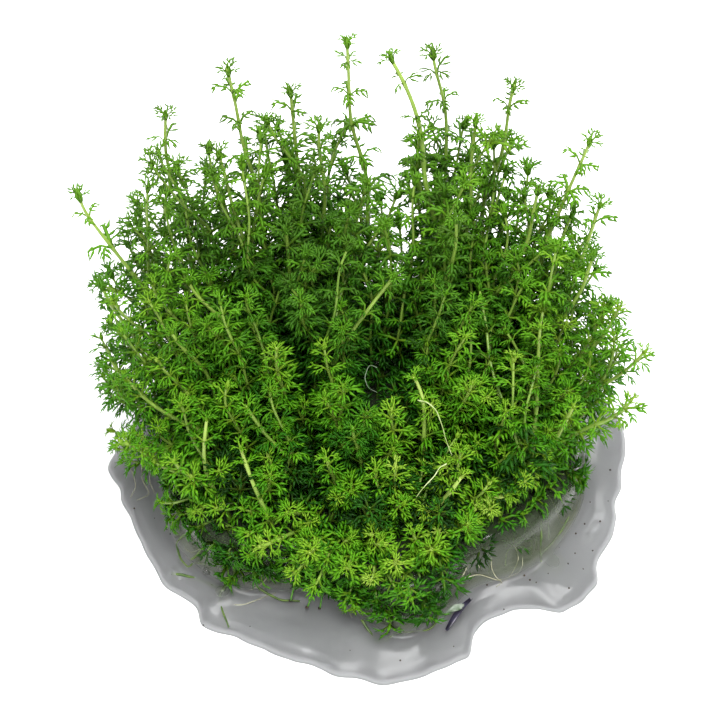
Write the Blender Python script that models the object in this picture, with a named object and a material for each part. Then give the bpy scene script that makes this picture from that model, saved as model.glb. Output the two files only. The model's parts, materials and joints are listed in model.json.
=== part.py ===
# Water milfoil grown in jelly: a clump of leafy shoots that stands in a lobed pad of clear gel.
# Lengths are metres, +Z is up and the front faces -Y.
# The origin is the middle of the pad's flat underside.

import math
import random

import bmesh
import bpy
import numpy as np
from mathutils import Vector

MM = 0.001

# gel pad: a block as wide as the cup that the plant grew in, with a thin skirt that has spread round it
BLOCK_TOP = 12.0 * MM
SKIRT_EDGE = 1.0 * MM
SKIRT_TOP = 1.9 * MM
SKIRT_FOLD = 0.5 * MM
FOLDS = 7
BLOCK_FOOT = 3.0 * MM
EDGE_ROUND = 1.0 * MM
SHOULDER_IN = 3.4 * MM
SHOULDER_Z = 10.6 * MM
WIDE_STEP = 9.0
# (angle in degrees, radius in mm), anticlockwise from +X; the front is at 270 degrees
RIM_OUTLINE = [
    (8, 43.0), (18, 43.5), (34, 41.0), (50, 39.5), (66, 41.0), (84, 40.0), (100, 39.0), (118, 41.0),
    (134, 40.0), (150, 41.5), (164, 42.0), (177, 45.0), (184, 42.5), (198, 41.0), (212, 41.0),
    (222, 39.0), (227, 41.0), (236, 39.5), (252, 39.0), (264, 40.5), (275, 41.5), (284, 40.0),
    (292, 39.0), (297, 35.0), (307, 34.8), (313, 36.5), (318, 40.8), (328, 42.7), (333, 40.8),
    (344, 41.0), (356, 40.7),
]
BLOCK_OUTLINE = [
    (0, 35.2), (22, 35.0), (45, 34.5), (70, 34.0), (92, 33.5), (115, 34.0), (140, 35.0), (165, 35.5),
    (190, 35.4), (205, 36.0), (216, 35.3), (228, 33.0), (240, 29.2), (256, 28.0), (267, 31.0),
    (277, 34.0), (290, 32.0), (303, 29.3), (318, 32.0), (333, 34.0), (346, 35.0),
]

# shoots
STEM_FOOT_RADIUS = 0.75 * MM
STEM_TIP_RADIUS = 0.45 * MM
FOOT_DEPTH = 6.0 * MM
SOCKET_GAP = 0.3 * MM
LEAF_LENGTH = 6.2 * MM
LEAF_LIFT = 0.28
LEAF_HALF_DEPTH = 0.7 * MM
LEAF_FORK = 1.35 * MM
SHORTEST_LEAF = 1.4 * MM
LEAVES_IN_WHORL = 4
WHORL_STEP = 8.6 * MM
FRONT_WHORL_STEP = 5.8 * MM
FEWEST_WHORLS = 3
MOST_WHORLS = 6
LOWEST_WHORL = 0.2
BUD_LENGTH = 2.6 * MM
BUD_RADIUS = 0.95 * MM
CLEAR_BETWEEN_SHOOTS = 0.45 * MM
CLEAR_OF_GEL = 0.5 * MM
PATH_STEPS = 36
SEED = 11

# Tall shoots of the back and sides in mm: tip x, y, z, then foot x, y, then how far the stem bows
# sideways and forwards at its middle.
TALL_SHOOTS = [
    (-46.5, 13, 56, -29, 9, -1, 0),
    (-33, 24, 63, -26, 16, -2, 0),
    (-23.5, 30, 66.5, -15, 22, -1, 0),
    (-25, 21, 57, -20, 14, 2, 0),
    (-13.5, 31, 61, -12, 28, 0, 0),
    (-9, 25, 59, -8, 21, 0, 0),
    (-4.5, 34, 69, 1, 24.5, -1, 0),
    (2, 33, 66.5, 3, 18.5, 9, -2),
    (9, 35, 65.5, 9, 27, 3, 1),
    (16, 28, 57.5, 12, 21.5, 1, 0),
    (22, 30, 63, 17.5, 25, -2, 0),
    (26, 19, 51, 17, 14.5, 1, 0),
    (34, 22, 59, 25, 15.5, -2, 0),
    (35.5, 14, 53, 28.5, 9, -1, 0),
    (34, 6, 50, 23, 7, 1, 0),
    (38.5, 2.5, 41, 29, 4, 0, 0),
    (42.5, -3, 37, 29.5, 0, 0, -1),
    (-38.5, 16, 47, -24, 3.5, 0, 2),
    (-43.5, 6, 43, -31, 1.5, 0, 0),
    (-42, -3, 35, -30.5, -5.5, 0, 0),
    (3, 5, 46, -7, 3, -2, 0),
    (12.5, 10, 54, 10, 13, 1, 0),
    (-14.5, 14, 47, -10, 13, 0, 0),
    (-30, 8, 42, -17, 6.5, 0, 0),
    (26, -0.5, 40, 24.5, -12, 0, 0),
]
# Short bushy shoots in front, given in the same way.
FRONT_SHOOTS = [
    (-26.7, -10.9, 30, -23.5, -17.5, -2.5, 0),
    (-20.5, -9.5, 31, -12, -13, 0, 0),
    (-21.5, -14.4, 27, -16, -21, -1.5, 0),
    (-13.9, -22.7, 20.8, -11.5, -18.5, 0, 0),
    (-18.1, -27.5, 18.2, -13.2, -21.4, 0, 0),
    (-32, -15.5, 25, -27, -12.8, 0, 0),
    (-16.7, -17.6, 24, -16.5, -14.5, 0, 0),
    (-7.9, -15.8, 26, -6.5, -14, 0, 0),
    (-39.4, -6, 33.5, -26, -5.5, 0, 0),
    (-40.5, -12.5, 26, -29.5, -9, 0, 0),
    (-5.3, -7, 33.5, -7, -7.5, 0, 0),
    (5.9, -6.4, 34.5, 8, -9.5, 1.2, 0),
    (-3.6, -12.1, 28.8, -1.5, -12.5, 0, 0),
    (13.8, -17.8, 24.2, 9, -19.5, 0, 0),
    (21, -17.3, 18, 14, -16, 0, 0.5),
    (20.4, -10.1, 30.8, 19.5, -9, 0, 0),
    (4.6, -21.5, 21.5, 3.5, -17.5, 0, 0),
    (-10.4, -28.7, 18, -8, -22, 0, 0),
    (-4.5, -31, 17.2, -3, -23.5, 0, 0),
    (3, -30.5, 17.5, 3, -25.5, 0, 0),
    (8.5, -28.1, 18, 8.5, -24.5, 0, 0),
    (14.5, -24, 19.5, 13, -20.5, 0, 0),
    (31.4, -9.5, 31, 27, -9.5, 0, 0),
    (40.5, -9, 32, 29.5, -5.5, 0, 0),
    (15.3, -6.8, 33.8, 11.5, -4, 0, 0),
    (-32.4, -1.2, 39.8, -25, -1, 0, 0),
    (-15.7, -3.2, 37.8, -14.5, -2, 0, 0),
]
CROWN_DEPTH = 36.0 * MM

GEL_COLOUR = (0.55, 0.58, 0.55, 1.0)
FRONT_GREEN = (0.20, 0.46, 0.05)
BACK_GREEN = (0.05, 0.22, 0.03)


# The objects and data that the file holds before the model is made.
def clear_scene():
    for item in list(bpy.data.objects):
        bpy.data.objects.remove(item, do_unlink=True)


def new_collection(name):
    collection = bpy.data.collections.new(name)
    bpy.context.scene.collection.children.link(collection)
    return collection


def make_material(name, colour, roughness, transmission=0.0):
    material = bpy.data.materials.new(name)
    material.use_nodes = True
    shader = material.node_tree.nodes["Principled BSDF"]
    shader.inputs["Base Color"].default_value = colour
    shader.inputs["Roughness"].default_value = roughness
    shader.inputs["Metallic"].default_value = 0.0
    shader.inputs["Transmission Weight"].default_value = transmission
    return material


# Radius of a closed outline at an angle in degrees: a smooth curve through the outline's points.
def outline_radius(outline, angle):
    angle = angle % 360
    count = len(outline)
    after = 0
    while after < count and outline[after][0] <= angle:
        after += 1
    points = []
    for offset in (-2, -1, 0, 1):
        turn, place = divmod(after + offset, count)
        points.append((outline[place][0] + 360 * turn, outline[place][1] * MM))
    (a0, r0), (a1, r1), (a2, r2), (a3, r3) = points
    t = (angle - a1) / (a2 - a1)
    slope_1 = (r2 - r0) / (a2 - a0) * (a2 - a1)
    slope_2 = (r3 - r1) / (a3 - a1) * (a2 - a1)
    from_1 = (2 * t**3 - 3 * t**2 + 1) * r1 + (t**3 - 2 * t**2 + t) * slope_1
    from_2 = (3 * t**2 - 2 * t**3) * r2 + (t**3 - t**2) * slope_2
    return from_1 + from_2


# The angles at which the pad has a rib: each point of its rim, and one more in each wide step.
def pad_angles():
    angles = []
    for place, (angle, _) in enumerate(RIM_OUTLINE):
        following = RIM_OUTLINE[(place + 1) % len(RIM_OUTLINE)][0]
        step = (following - angle) % 360
        angles.append(angle)
        if step > WIDE_STEP:
            angles.append(angle + step / 2)
    return angles


def polar(radius, angle, z):
    turned = math.radians(angle)
    return Vector((radius * math.cos(turned), radius * math.sin(turned), z))


# Rings of the gel pad from its underside, over the rounded edge and the skirt, up to the flat top.
def pad_rings():
    rings = [[] for _ in range(7)]
    for angle in pad_angles():
        rim = outline_radius(RIM_OUTLINE, angle)
        block = outline_radius(BLOCK_OUTLINE, angle)
        fold = SKIRT_FOLD * math.sin(math.radians(FOLDS * angle))
        rings[0].append(polar(rim - EDGE_ROUND, angle, 0.0))
        rings[1].append(polar(rim, angle, SKIRT_EDGE))
        rings[2].append(polar(rim - EDGE_ROUND, angle, SKIRT_TOP))
        rings[3].append(polar((rim + block) / 2, angle, SKIRT_TOP + SKIRT_FOLD + fold))
        rings[4].append(polar(block, angle, BLOCK_FOOT))
        rings[5].append(polar(block - EDGE_ROUND, angle, SHOULDER_Z))
        rings[6].append(polar(block - SHOULDER_IN, angle, BLOCK_TOP))
    return rings


def mesh_object(name, bm, collection, material):
    mesh = bpy.data.meshes.new(name)
    bm.to_mesh(mesh)
    bm.free()
    mesh.materials.append(material)
    piece = bpy.data.objects.new(name, mesh)
    collection.objects.link(piece)
    return piece


def make_gel_pad(collection):
    bm = bmesh.new()
    rings = [[bm.verts.new(point) for point in ring] for ring in pad_rings()]
    count = len(rings[0])
    for low, high in zip(rings, rings[1:]):
        for place in range(count):
            beside = (place + 1) % count
            bm.faces.new((low[place], low[beside], high[beside], high[place]))
    bm.faces.new(list(reversed(rings[0])))
    bm.faces.new(rings[-1])
    return mesh_object("gel_pad", bm, collection, make_material("gel", GEL_COLOUR, 0.08, 0.9))


# Foot, tip, bow and whorl spacing of each shoot in a list.
def shoot_plans(shoots, whorl_step):
    plans = []
    for tip_x, tip_y, tip_z, foot_x, foot_y, bow_x, bow_y in shoots:
        tip = Vector((tip_x, tip_y, tip_z)) * MM
        foot = Vector((foot_x, foot_y, 0)) * MM
        foot.z = BLOCK_TOP
        plans.append((foot, tip, Vector((bow_x, bow_y, 0)) * MM, whorl_step))
    return plans


# A stem rises straight out of the gel and then bends over to its tip.
def stem_path(foot, tip, bow):
    length = (tip - foot).length
    rise = foot + Vector((0, 0, 0.38 * length)) + bow
    lean = (tip - foot).normalized() + Vector((0, 0, 0.6))
    below_tip = tip - lean.normalized() * 0.33 * length + bow
    points = []
    for step in range(PATH_STEPS + 1):
        t = step / PATH_STEPS
        s = 1 - t
        points.append(s**3 * foot + 3 * s * s * t * rise + 3 * s * t * t * below_tip + t**3 * tip)
    return points


# A point at a distance along a path of points, with the direction that the path has there.
def along_path(points, distance):
    for start, end in zip(points, points[1:]):
        step = (end - start).length
        if distance <= step or end is points[-1]:
            direction = (end - start).normalized()
            return start + direction * distance, direction
        distance -= step
    return points[-1], direction


def path_length(points):
    return sum((end - start).length for start, end in zip(points, points[1:]))


# Two directions across a stem, the first turned by an angle about it.
def across(direction, turn):
    side = direction.cross(Vector((0, 1, 0))).normalized()
    other = direction.cross(side)
    first = side * math.cos(turn) + other * math.sin(turn)
    return first, direction.cross(first)


# A leaf ends where it would come nearer to another stem than to its own, or down to the gel.
def leaf_reach(centre, direction, own, others):
    reach = LEAF_LENGTH
    while reach > SHORTEST_LEAF:
        fractions = np.linspace(0.25, 1.0, 7)
        points = np.array([centre + direction * (reach * part) for part in fractions])
        to_others = np.linalg.norm(points[:, None, :] - others[None, :, :], axis=2).min(axis=1)
        to_own = np.linalg.norm(points[:, None, :] - own[None, :, :], axis=2).min(axis=1)
        thickness = 2 * LEAF_FORK * (1 - fractions)
        clear = (to_others - to_own - thickness).min() > CLEAR_BETWEEN_SHOOTS
        if clear and points[-1, 2] > BLOCK_TOP + CLEAR_OF_GEL:
            return reach
        reach *= 0.9
    return SHORTEST_LEAF


def ring_of(bm, centre, direction, turn, radii):
    first, second = across(direction, turn)
    ring = []
    for place, radius in enumerate(radii):
        angle = 2 * math.pi * place / len(radii)
        ring.append(bm.verts.new(centre + (first * math.cos(angle) + second * math.sin(angle)) * radius))
    return ring


def join_rings(bm, low, high):
    for place in range(len(low)):
        beside = (place + 1) % len(low)
        bm.faces.new((low[place], low[beside], high[beside], high[place]))


# Faces from a stem's ring to the star of a whorl, whose points alternate leaf tip and leaf fork.
def join_star(bm, ring, star, star_above):
    for place in range(len(ring)):
        beside = (place + 1) % len(ring)
        tip, fork, next_tip = star[2 * place], star[2 * place + 1], star[(2 * place + 2) % len(star)]
        faces = [(ring[place], fork, tip), (ring[place], ring[beside], fork), (ring[beside], next_tip, fork)]
        for face in faces:
            bm.faces.new(face if star_above else tuple(reversed(face)))


# One shoot is lofted from its foot to its bud: square stem rings with a star of leaves at each whorl.
def make_shoot(name, plan, turn, own, others, collection, rng):
    foot, tip, bow, whorl_step = plan
    points = stem_path(foot, tip, bow)
    length = path_length(points)
    count = round(length / whorl_step)
    count = min(MOST_WHORLS, max(FEWEST_WHORLS, count))
    last = length - 1.2 * BUD_LENGTH
    first = LOWEST_WHORL * length
    up = Vector((0, 0, 1))
    bm = bmesh.new()
    below = ring_of(bm, foot - up * FOOT_DEPTH, up, turn, [STEM_FOOT_RADIUS] * LEAVES_IN_WHORL)
    bm.faces.new(list(reversed(below)))
    surface = ring_of(bm, foot + up * SOCKET_GAP, up, turn, [STEM_FOOT_RADIUS] * LEAVES_IN_WHORL)
    join_rings(bm, below, surface)
    below = surface
    for whorl in range(count):
        distance = first + (last - first) * whorl / (count - 1)
        centre, direction = along_path(points, distance)
        along = distance / length
        radius = STEM_FOOT_RADIUS + (STEM_TIP_RADIUS - STEM_FOOT_RADIUS) * along
        turn += math.pi / 4 + rng.uniform(-0.15, 0.15)
        turn -= math.pi / 2 * math.floor(turn / (math.pi / 2))
        half = direction * LEAF_HALF_DEPTH
        ring = ring_of(bm, centre - half, direction, turn, [radius] * LEAVES_IN_WHORL)
        join_rings(bm, below, ring)
        sides = across(direction, turn)
        star = []
        for leaf in range(LEAVES_IN_WHORL):
            angle = 2 * math.pi * leaf / LEAVES_IN_WHORL
            out = sides[0] * math.cos(angle) + sides[1] * math.sin(angle) + direction * LEAF_LIFT
            reach = leaf_reach(centre, out, own, others)
            star.append(bm.verts.new(centre + out * reach))
            angle += math.pi / LEAVES_IN_WHORL
            fork = sides[0] * math.cos(angle) + sides[1] * math.sin(angle)
            star.append(bm.verts.new(centre + fork * LEAF_FORK))
        join_star(bm, ring, star, True)
        below = ring_of(bm, centre + half, direction, turn, [radius] * LEAVES_IN_WHORL)
        join_star(bm, below, star, False)
    centre, direction = along_path(points, length - BUD_LENGTH * 0.55)
    bud = ring_of(bm, centre, direction, turn, [BUD_RADIUS] * LEAVES_IN_WHORL)
    join_rings(bm, below, bud)
    top = bm.verts.new(tip)
    for place in range(LEAVES_IN_WHORL):
        bm.faces.new((bud[place], bud[(place + 1) % LEAVES_IN_WHORL], top))
    bmesh.ops.triangulate(bm, faces=bm.faces[:])
    forward = min(1.0, max(0.0, (CROWN_DEPTH - tip.y) / (2 * CROWN_DEPTH)))
    green = [back + (front - back) * forward for back, front in zip(BACK_GREEN, FRONT_GREEN)]
    material = make_material("leaf_" + name, (*green, 1.0), 0.4)
    return mesh_object(name, bm, collection, material)


# Each shoot stands in a square socket that it fills but for a small gap.
def cut_sockets(pad, plans, turns, cutters):
    bm = bmesh.new()
    radius = STEM_FOOT_RADIUS + SOCKET_GAP * math.sqrt(2)
    for (foot, _, _, _), turn in zip(plans, turns):
        up = Vector((0, 0, 1))
        low = ring_of(bm, foot - up * (FOOT_DEPTH + SOCKET_GAP), up, turn, [radius] * LEAVES_IN_WHORL)
        high = ring_of(bm, foot + up * EDGE_ROUND, up, turn, [radius] * LEAVES_IN_WHORL)
        join_rings(bm, low, high)
        bm.faces.new(list(reversed(low)))
        bm.faces.new(high)
    cutter = mesh_object("socket_cutter", bm, cutters, make_material("cutter", GEL_COLOUR, 0.5))
    cutter.hide_render = True
    cutter.display_type = "WIRE"
    cut = pad.modifiers.new("sockets", "BOOLEAN")
    cut.operation = "DIFFERENCE"
    cut.solver = "EXACT"
    cut.object = cutter


def main():
    clear_scene()
    rng = random.Random(SEED)
    collection = new_collection("water_milfoil")
    cutters = new_collection("cutters")
    pad = make_gel_pad(collection)
    plans = shoot_plans(TALL_SHOOTS, WHORL_STEP) + shoot_plans(FRONT_SHOOTS, FRONT_WHORL_STEP)
    paths = [np.array(stem_path(foot, tip, bow)) for foot, tip, bow, _ in plans]
    turns = [rng.uniform(0, math.pi / 2) for _ in plans]
    for number, (plan, turn) in enumerate(zip(plans, turns)):
        own = paths[number]
        others = np.concatenate(paths[:number] + paths[number + 1:])
        make_shoot("shoot_%02d" % (number + 1), plan, turn, own, others, collection, rng)
    cut_sockets(pad, plans, turns, cutters)


main()
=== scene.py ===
import json
import math
import random
import bpy
import bmesh
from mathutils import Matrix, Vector, noise

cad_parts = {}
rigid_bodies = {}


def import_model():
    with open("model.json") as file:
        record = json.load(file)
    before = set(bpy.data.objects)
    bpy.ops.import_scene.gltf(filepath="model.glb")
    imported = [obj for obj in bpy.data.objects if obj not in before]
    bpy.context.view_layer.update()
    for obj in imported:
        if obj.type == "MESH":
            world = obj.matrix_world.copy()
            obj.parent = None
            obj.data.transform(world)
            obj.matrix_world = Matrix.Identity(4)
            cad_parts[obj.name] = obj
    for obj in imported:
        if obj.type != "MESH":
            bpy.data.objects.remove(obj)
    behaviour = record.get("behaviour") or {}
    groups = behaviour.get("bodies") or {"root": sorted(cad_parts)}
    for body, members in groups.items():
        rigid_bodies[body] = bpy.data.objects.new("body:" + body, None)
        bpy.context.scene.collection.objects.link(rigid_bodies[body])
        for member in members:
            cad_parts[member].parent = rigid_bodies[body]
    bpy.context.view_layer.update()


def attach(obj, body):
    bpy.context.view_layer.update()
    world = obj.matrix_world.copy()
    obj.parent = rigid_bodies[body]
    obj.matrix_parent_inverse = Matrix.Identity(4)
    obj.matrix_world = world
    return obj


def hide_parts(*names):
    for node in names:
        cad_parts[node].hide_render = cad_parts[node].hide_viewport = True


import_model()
mm = 0.001
noise.seed_set(5)  # unseeded, noise_vector gives other values in each run


# colours are sRGB hex; Blender's sockets want linear values
def hexColour(text):
    parts = [int(text[i:i + 2], 16) / 255 for i in (1, 3, 5)]
    linear = [c / 12.92 if c <= 0.04045 else ((c + 0.055) / 1.055) ** 2.4 for c in parts]
    return (*linear, 1.0)


# first enabled socket of that name (or number): nodes that change type keep hidden twins
def socketOf(sockets, name):
    if isinstance(name, int):
        return sockets[name]
    return next(s for s in sockets if s.enabled and s.name == name)


# one node with its settings, input values and links
def addNode(tree, kind, inputs=None, **settings):
    node = tree.nodes.new(kind)
    for name, value in settings.items():
        setattr(node, name, value)
    for name, value in (inputs or {}).items():
        socket = socketOf(node.inputs, name)
        if isinstance(value, bpy.types.NodeSocket):
            tree.links.new(value, socket)
        else:
            socket.default_value = value
    return node


def newMaterial(name):
    material = bpy.data.materials.new(name)
    material.use_nodes = True
    tree = material.node_tree
    tree.nodes.clear()
    return material, tree


def finishMaterial(tree, surface, volume=None):
    links = {"Surface": surface}
    if volume:
        links["Volume"] = volume
    addNode(tree, "ShaderNodeOutputMaterial", links)


# mixes two colours by a factor socket or a number
def mixColour(tree, factor, first, second):
    node = addNode(tree, "ShaderNodeMix", {"Factor": factor, "A": first, "B": second}, data_type="RGBA")
    return socketOf(node.outputs, "Result")


# remaps a value socket from one range to another
def spread(tree, value, low, high, toLow=0.0, toHigh=1.0):
    node = addNode(tree, "ShaderNodeMapRange", {
        "Value": value, "From Min": low, "From Max": high, "To Min": toLow, "To Max": toHigh})
    return node.outputs["Result"]


def attributeValue(tree, name):
    return addNode(tree, "ShaderNodeAttribute", attribute_name=name).outputs["Fac"]


def combine(tree, operation, first, second):
    return addNode(tree, "ShaderNodeMath", {0: first, 1: second}, operation=operation).outputs[0]


noiseSpan = (0.3, 0.7)  # most of a noise's values lie between these two


def objectNoise(tree, scale, stretch=(1, 1, 1), detail=2.0):
    place = addNode(tree, "ShaderNodeTexCoord").outputs["Object"]
    turned = addNode(tree, "ShaderNodeMapping", {"Vector": place, "Scale": stretch}).outputs["Vector"]
    cloud = addNode(tree, "ShaderNodeTexNoise", {"Vector": turned, "Scale": scale, "Detail": detail})
    return cloud.outputs["Fac"]


# goes from one value to another between two heights in mm
def byHeight(tree, heights, toLow=0.0, toHigh=1.0):
    place = addNode(tree, "ShaderNodeTexCoord").outputs["Object"]
    height = addNode(tree, "ShaderNodeSeparateXYZ", {"Vector": place}).outputs["Z"]
    return spread(tree, height, heights[0] * mm, heights[1] * mm, toLow, toHigh)


# camera at the photograph's angle: looking down at 50 degrees from half a metre
cameraSet = dict(elevation=50.0, distance=480 * mm, lens=150.0, sensor=36.0, nearest=10 * mm,
                 target=(-2.5 * mm, 0.0, 31 * mm))


def placeCamera():
    data = bpy.data.cameras.new("photoCamera")
    data.lens = cameraSet["lens"]
    data.sensor_width = cameraSet["sensor"]
    data.clip_start = cameraSet["nearest"]
    camera = bpy.data.objects.new("photoCamera", data)
    bpy.context.scene.collection.objects.link(camera)
    tilt = math.radians(cameraSet["elevation"])
    away = Vector((0, -math.cos(tilt), math.sin(tilt)))
    camera.location = Vector(cameraSet["target"]) + away * cameraSet["distance"]
    camera.rotation_euler = (math.pi / 2 - tilt, 0, 0)
    bpy.context.scene.camera = camera


lightSet = dict(
    world="#ffffff", worldPower=0.80, aim=(0, 0, 0.03),
    softboxes=[  # place, size and watts of each softbox
        ((0.06, -0.24, 0.78), 0.46, 11.0),
        ((0.12, 0.50, 0.58), 0.36, 5.0),
    ],
)


def placeLights():
    # keeps the greens as strong as in the photograph
    bpy.context.scene.view_settings.view_transform = "Standard"
    world = bpy.data.worlds.new("studio")
    world.use_nodes = True
    sky = world.node_tree.nodes["Background"]
    sky.inputs["Color"].default_value = hexColour(lightSet["world"])
    sky.inputs["Strength"].default_value = lightSet["worldPower"]
    bpy.context.scene.world = world
    for number, (place, size, watts) in enumerate(lightSet["softboxes"]):
        data = bpy.data.lights.new("softbox%d" % number, "AREA")
        data.size = size
        data.energy = watts
        lamp = bpy.data.objects.new("softbox%d" % number, data)
        lamp.location = place
        aim = Vector(lightSet["aim"]) - Vector(place)
        lamp.rotation_euler = aim.to_track_quat("-Z", "Y").to_euler()
        bpy.context.scene.collection.objects.link(lamp)


floorSet = dict(colour="#f7f7f7", size=2.4, drop=0.03 * mm, roughness=0.9)


def makeFloor():
    bm = bmesh.new()
    bmesh.ops.create_grid(bm, x_segments=1, y_segments=1, size=floorSet["size"] / 2)
    bmesh.ops.translate(bm, verts=bm.verts, vec=(0, 0, -floorSet["drop"]))
    floor = addPiece("studioFloor", bm)
    material, tree = newMaterial("palePaper")
    shader = addNode(tree, "ShaderNodeBsdfPrincipled", {
        "Base Color": hexColour(floorSet["colour"]), "Roughness": floorSet["roughness"]})
    finishMaterial(tree, shader.outputs[0])
    floor.data.materials.append(material)


def addPiece(name, bm):
    mesh = bpy.data.meshes.new(name)
    bm.to_mesh(mesh)
    bm.free()
    piece = bpy.data.objects.new(name, mesh)
    bpy.context.scene.collection.objects.link(piece)
    return piece


# live leaf tissue: thin, moist and waxy; light comes through it and it is paler at its foot
leafLook = dict(
    tones=[(0.0, "#103604"), (0.3, "#2c6f08"), (0.6, "#5ba00e"), (0.85, "#86b428"), (1.0, "#a9c652")],
    heart="#c2d94c", tip="#25620a", olive="#7c9630", through="#a2b83e",
    throughMix=0.35, share=0.40, roughness=(0.42, 0.60), ior=1.40, gloss=0.35,
    patchScale=260.0, patchShift=0.12,  # patches about 4 mm across
    filmScale=900.0,  # moisture film, about 1 mm
    footEnd=0.45, tipStart=0.7, tipShare=0.30,  # places along a leaf: 0 at its foot, 1 at its lobes' ends
    youngTones=(0.1, 0.8), youngShares=(0.15, 0.75),  # the brighter a shoot, the paler its leaves' feet
    paleHeights=(32, 50), paleHighUp=0.15, oliveHeights=(26, 60), oliveShare=0.36,
)


def leafMaterial():
    look = leafLook
    material, tree = newMaterial("milfoilLeaf")
    tone, place = attributeValue(tree, "tone"), attributeValue(tree, "tip")
    shift = look["patchShift"]
    patches = spread(tree, objectNoise(tree, look["patchScale"]), *noiseSpan, -shift, shift)
    ramp = addNode(tree, "ShaderNodeValToRGB", {"Fac": combine(tree, "ADD", tone, patches)})
    points = ramp.color_ramp.elements
    points[0].color = hexColour(look["tones"][0][1])
    points[1].color = hexColour(look["tones"][-1][1])
    for position, colour in look["tones"][1:-1]:
        points.new(position).color = hexColour(colour)
    foot = spread(tree, place, 0.0, look["footEnd"], 1.0, 0.0)
    lowDown = byHeight(tree, look["paleHeights"], 1.0, look["paleHighUp"])
    young = spread(tree, tone, *look["youngTones"], *look["youngShares"])
    paleness = combine(tree, "MULTIPLY", combine(tree, "MULTIPLY", foot, lowDown), young)
    green = mixColour(tree, paleness, ramp.outputs["Color"], hexColour(look["heart"]))
    atTip = spread(tree, place, look["tipStart"], 1.0, 0.0, look["tipShare"])
    green = mixColour(tree, atTip, green, hexColour(look["tip"]))
    highUp = byHeight(tree, look["oliveHeights"], 0.0, look["oliveShare"])
    green = mixColour(tree, highUp, green, hexColour(look["olive"]))
    film = spread(tree, objectNoise(tree, look["filmScale"]), *noiseSpan, *look["roughness"])
    shader = addNode(tree, "ShaderNodeBsdfPrincipled", {
        "Base Color": green, "Roughness": film, "IOR": look["ior"], "Specular IOR Level": look["gloss"]})
    yellowed = mixColour(tree, look["throughMix"], green, hexColour(look["through"]))
    through = addNode(tree, "ShaderNodeBsdfTranslucent", {"Color": yellowed})
    both = addNode(tree, "ShaderNodeMixShader", {
        0: look["share"], 1: shader.outputs[0], 2: through.outputs[0]})
    finishMaterial(tree, both.outputs[0])
    return material


# young stem: smooth wet skin, olive low down and pale yellow-green above, with fine long streaks
stemLook = dict(
    low=("#27500b", "#5f8c1d"), high=("#4c7216", "#a6bb5c"), upward=(0.25, 0.95),  # by tone, by place
    aged="#5a7a18", agedScale=120.0, agedSpan=(0.5, 0.75), agedShare=0.5,
    streak="#a8c85c", streakScale=900.0, streakStretch=(1, 1, 0.12),
    streakSpan=(0.45, 0.7), streakShare=0.28,
    roughness=(0.3, 0.45), ior=1.42, soft=0.1, softDepth=0.5 * mm, softRadius=(0.6, 1.0, 0.3),
)


def stemMaterial():
    look = stemLook
    material, tree = newMaterial("milfoilStem")
    tone = attributeValue(tree, "tone")
    streaks = objectNoise(tree, look["streakScale"], stretch=look["streakStretch"])
    patches = objectNoise(tree, look["agedScale"])
    low, high = [mixColour(tree, tone, hexColour(dark), hexColour(pale))
                 for dark, pale in (look["low"], look["high"])]
    green = mixColour(tree, spread(tree, attributeValue(tree, "along"), *look["upward"]), low, high)
    aged = spread(tree, patches, *look["agedSpan"], 0.0, look["agedShare"])
    green = mixColour(tree, aged, green, hexColour(look["aged"]))
    lined = spread(tree, streaks, *look["streakSpan"], 0.0, look["streakShare"])
    green = mixColour(tree, lined, green, hexColour(look["streak"]))
    shader = addNode(tree, "ShaderNodeBsdfPrincipled", {
        "Base Color": green, "Roughness": spread(tree, patches, *noiseSpan, *look["roughness"]),
        "IOR": look["ior"], "Subsurface Weight": look["soft"], "Subsurface Scale": look["softDepth"],
        "Subsurface Radius": look["softRadius"]})
    finishMaterial(tree, shader.outputs[0])
    return material


# nutrient jelly set in a cup: clear but slightly milky, greyer where it is thick, with a soft wet skin
gelLook = dict(
    skirt="#c7c7c9", block="#a7b194", top="#5f7250", edge="#a3a5a6", deep="#809070", density=60.0, ior=1.34,
    skirtRoughness=0.31, blockRoughness=0.16, skirtGloss=0.5, blockGloss=0.2, clear=0.86, edgeClear=0.25,
    edgeHeights=(0.1, 0.8), blockHeights=(2.6, 4.2),  # mm; the thin edge is milkier than the rest
    topShadeHeights=(6.0, 11.8), topShadeShare=0.85,  # painted shade under the foliage on its top, dark green like the leaves lying there
    rippleScale=220.0, rippleStrength=0.5,  # soft ripples about 4 mm apart on the skirt
    crinkleScale=170.0, crinkleStretch=(1, 1, 0.6), crinkleDetail=0.5, crinkleStrength=0.3,
    reliefDepth=0.5 * mm,
)


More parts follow.
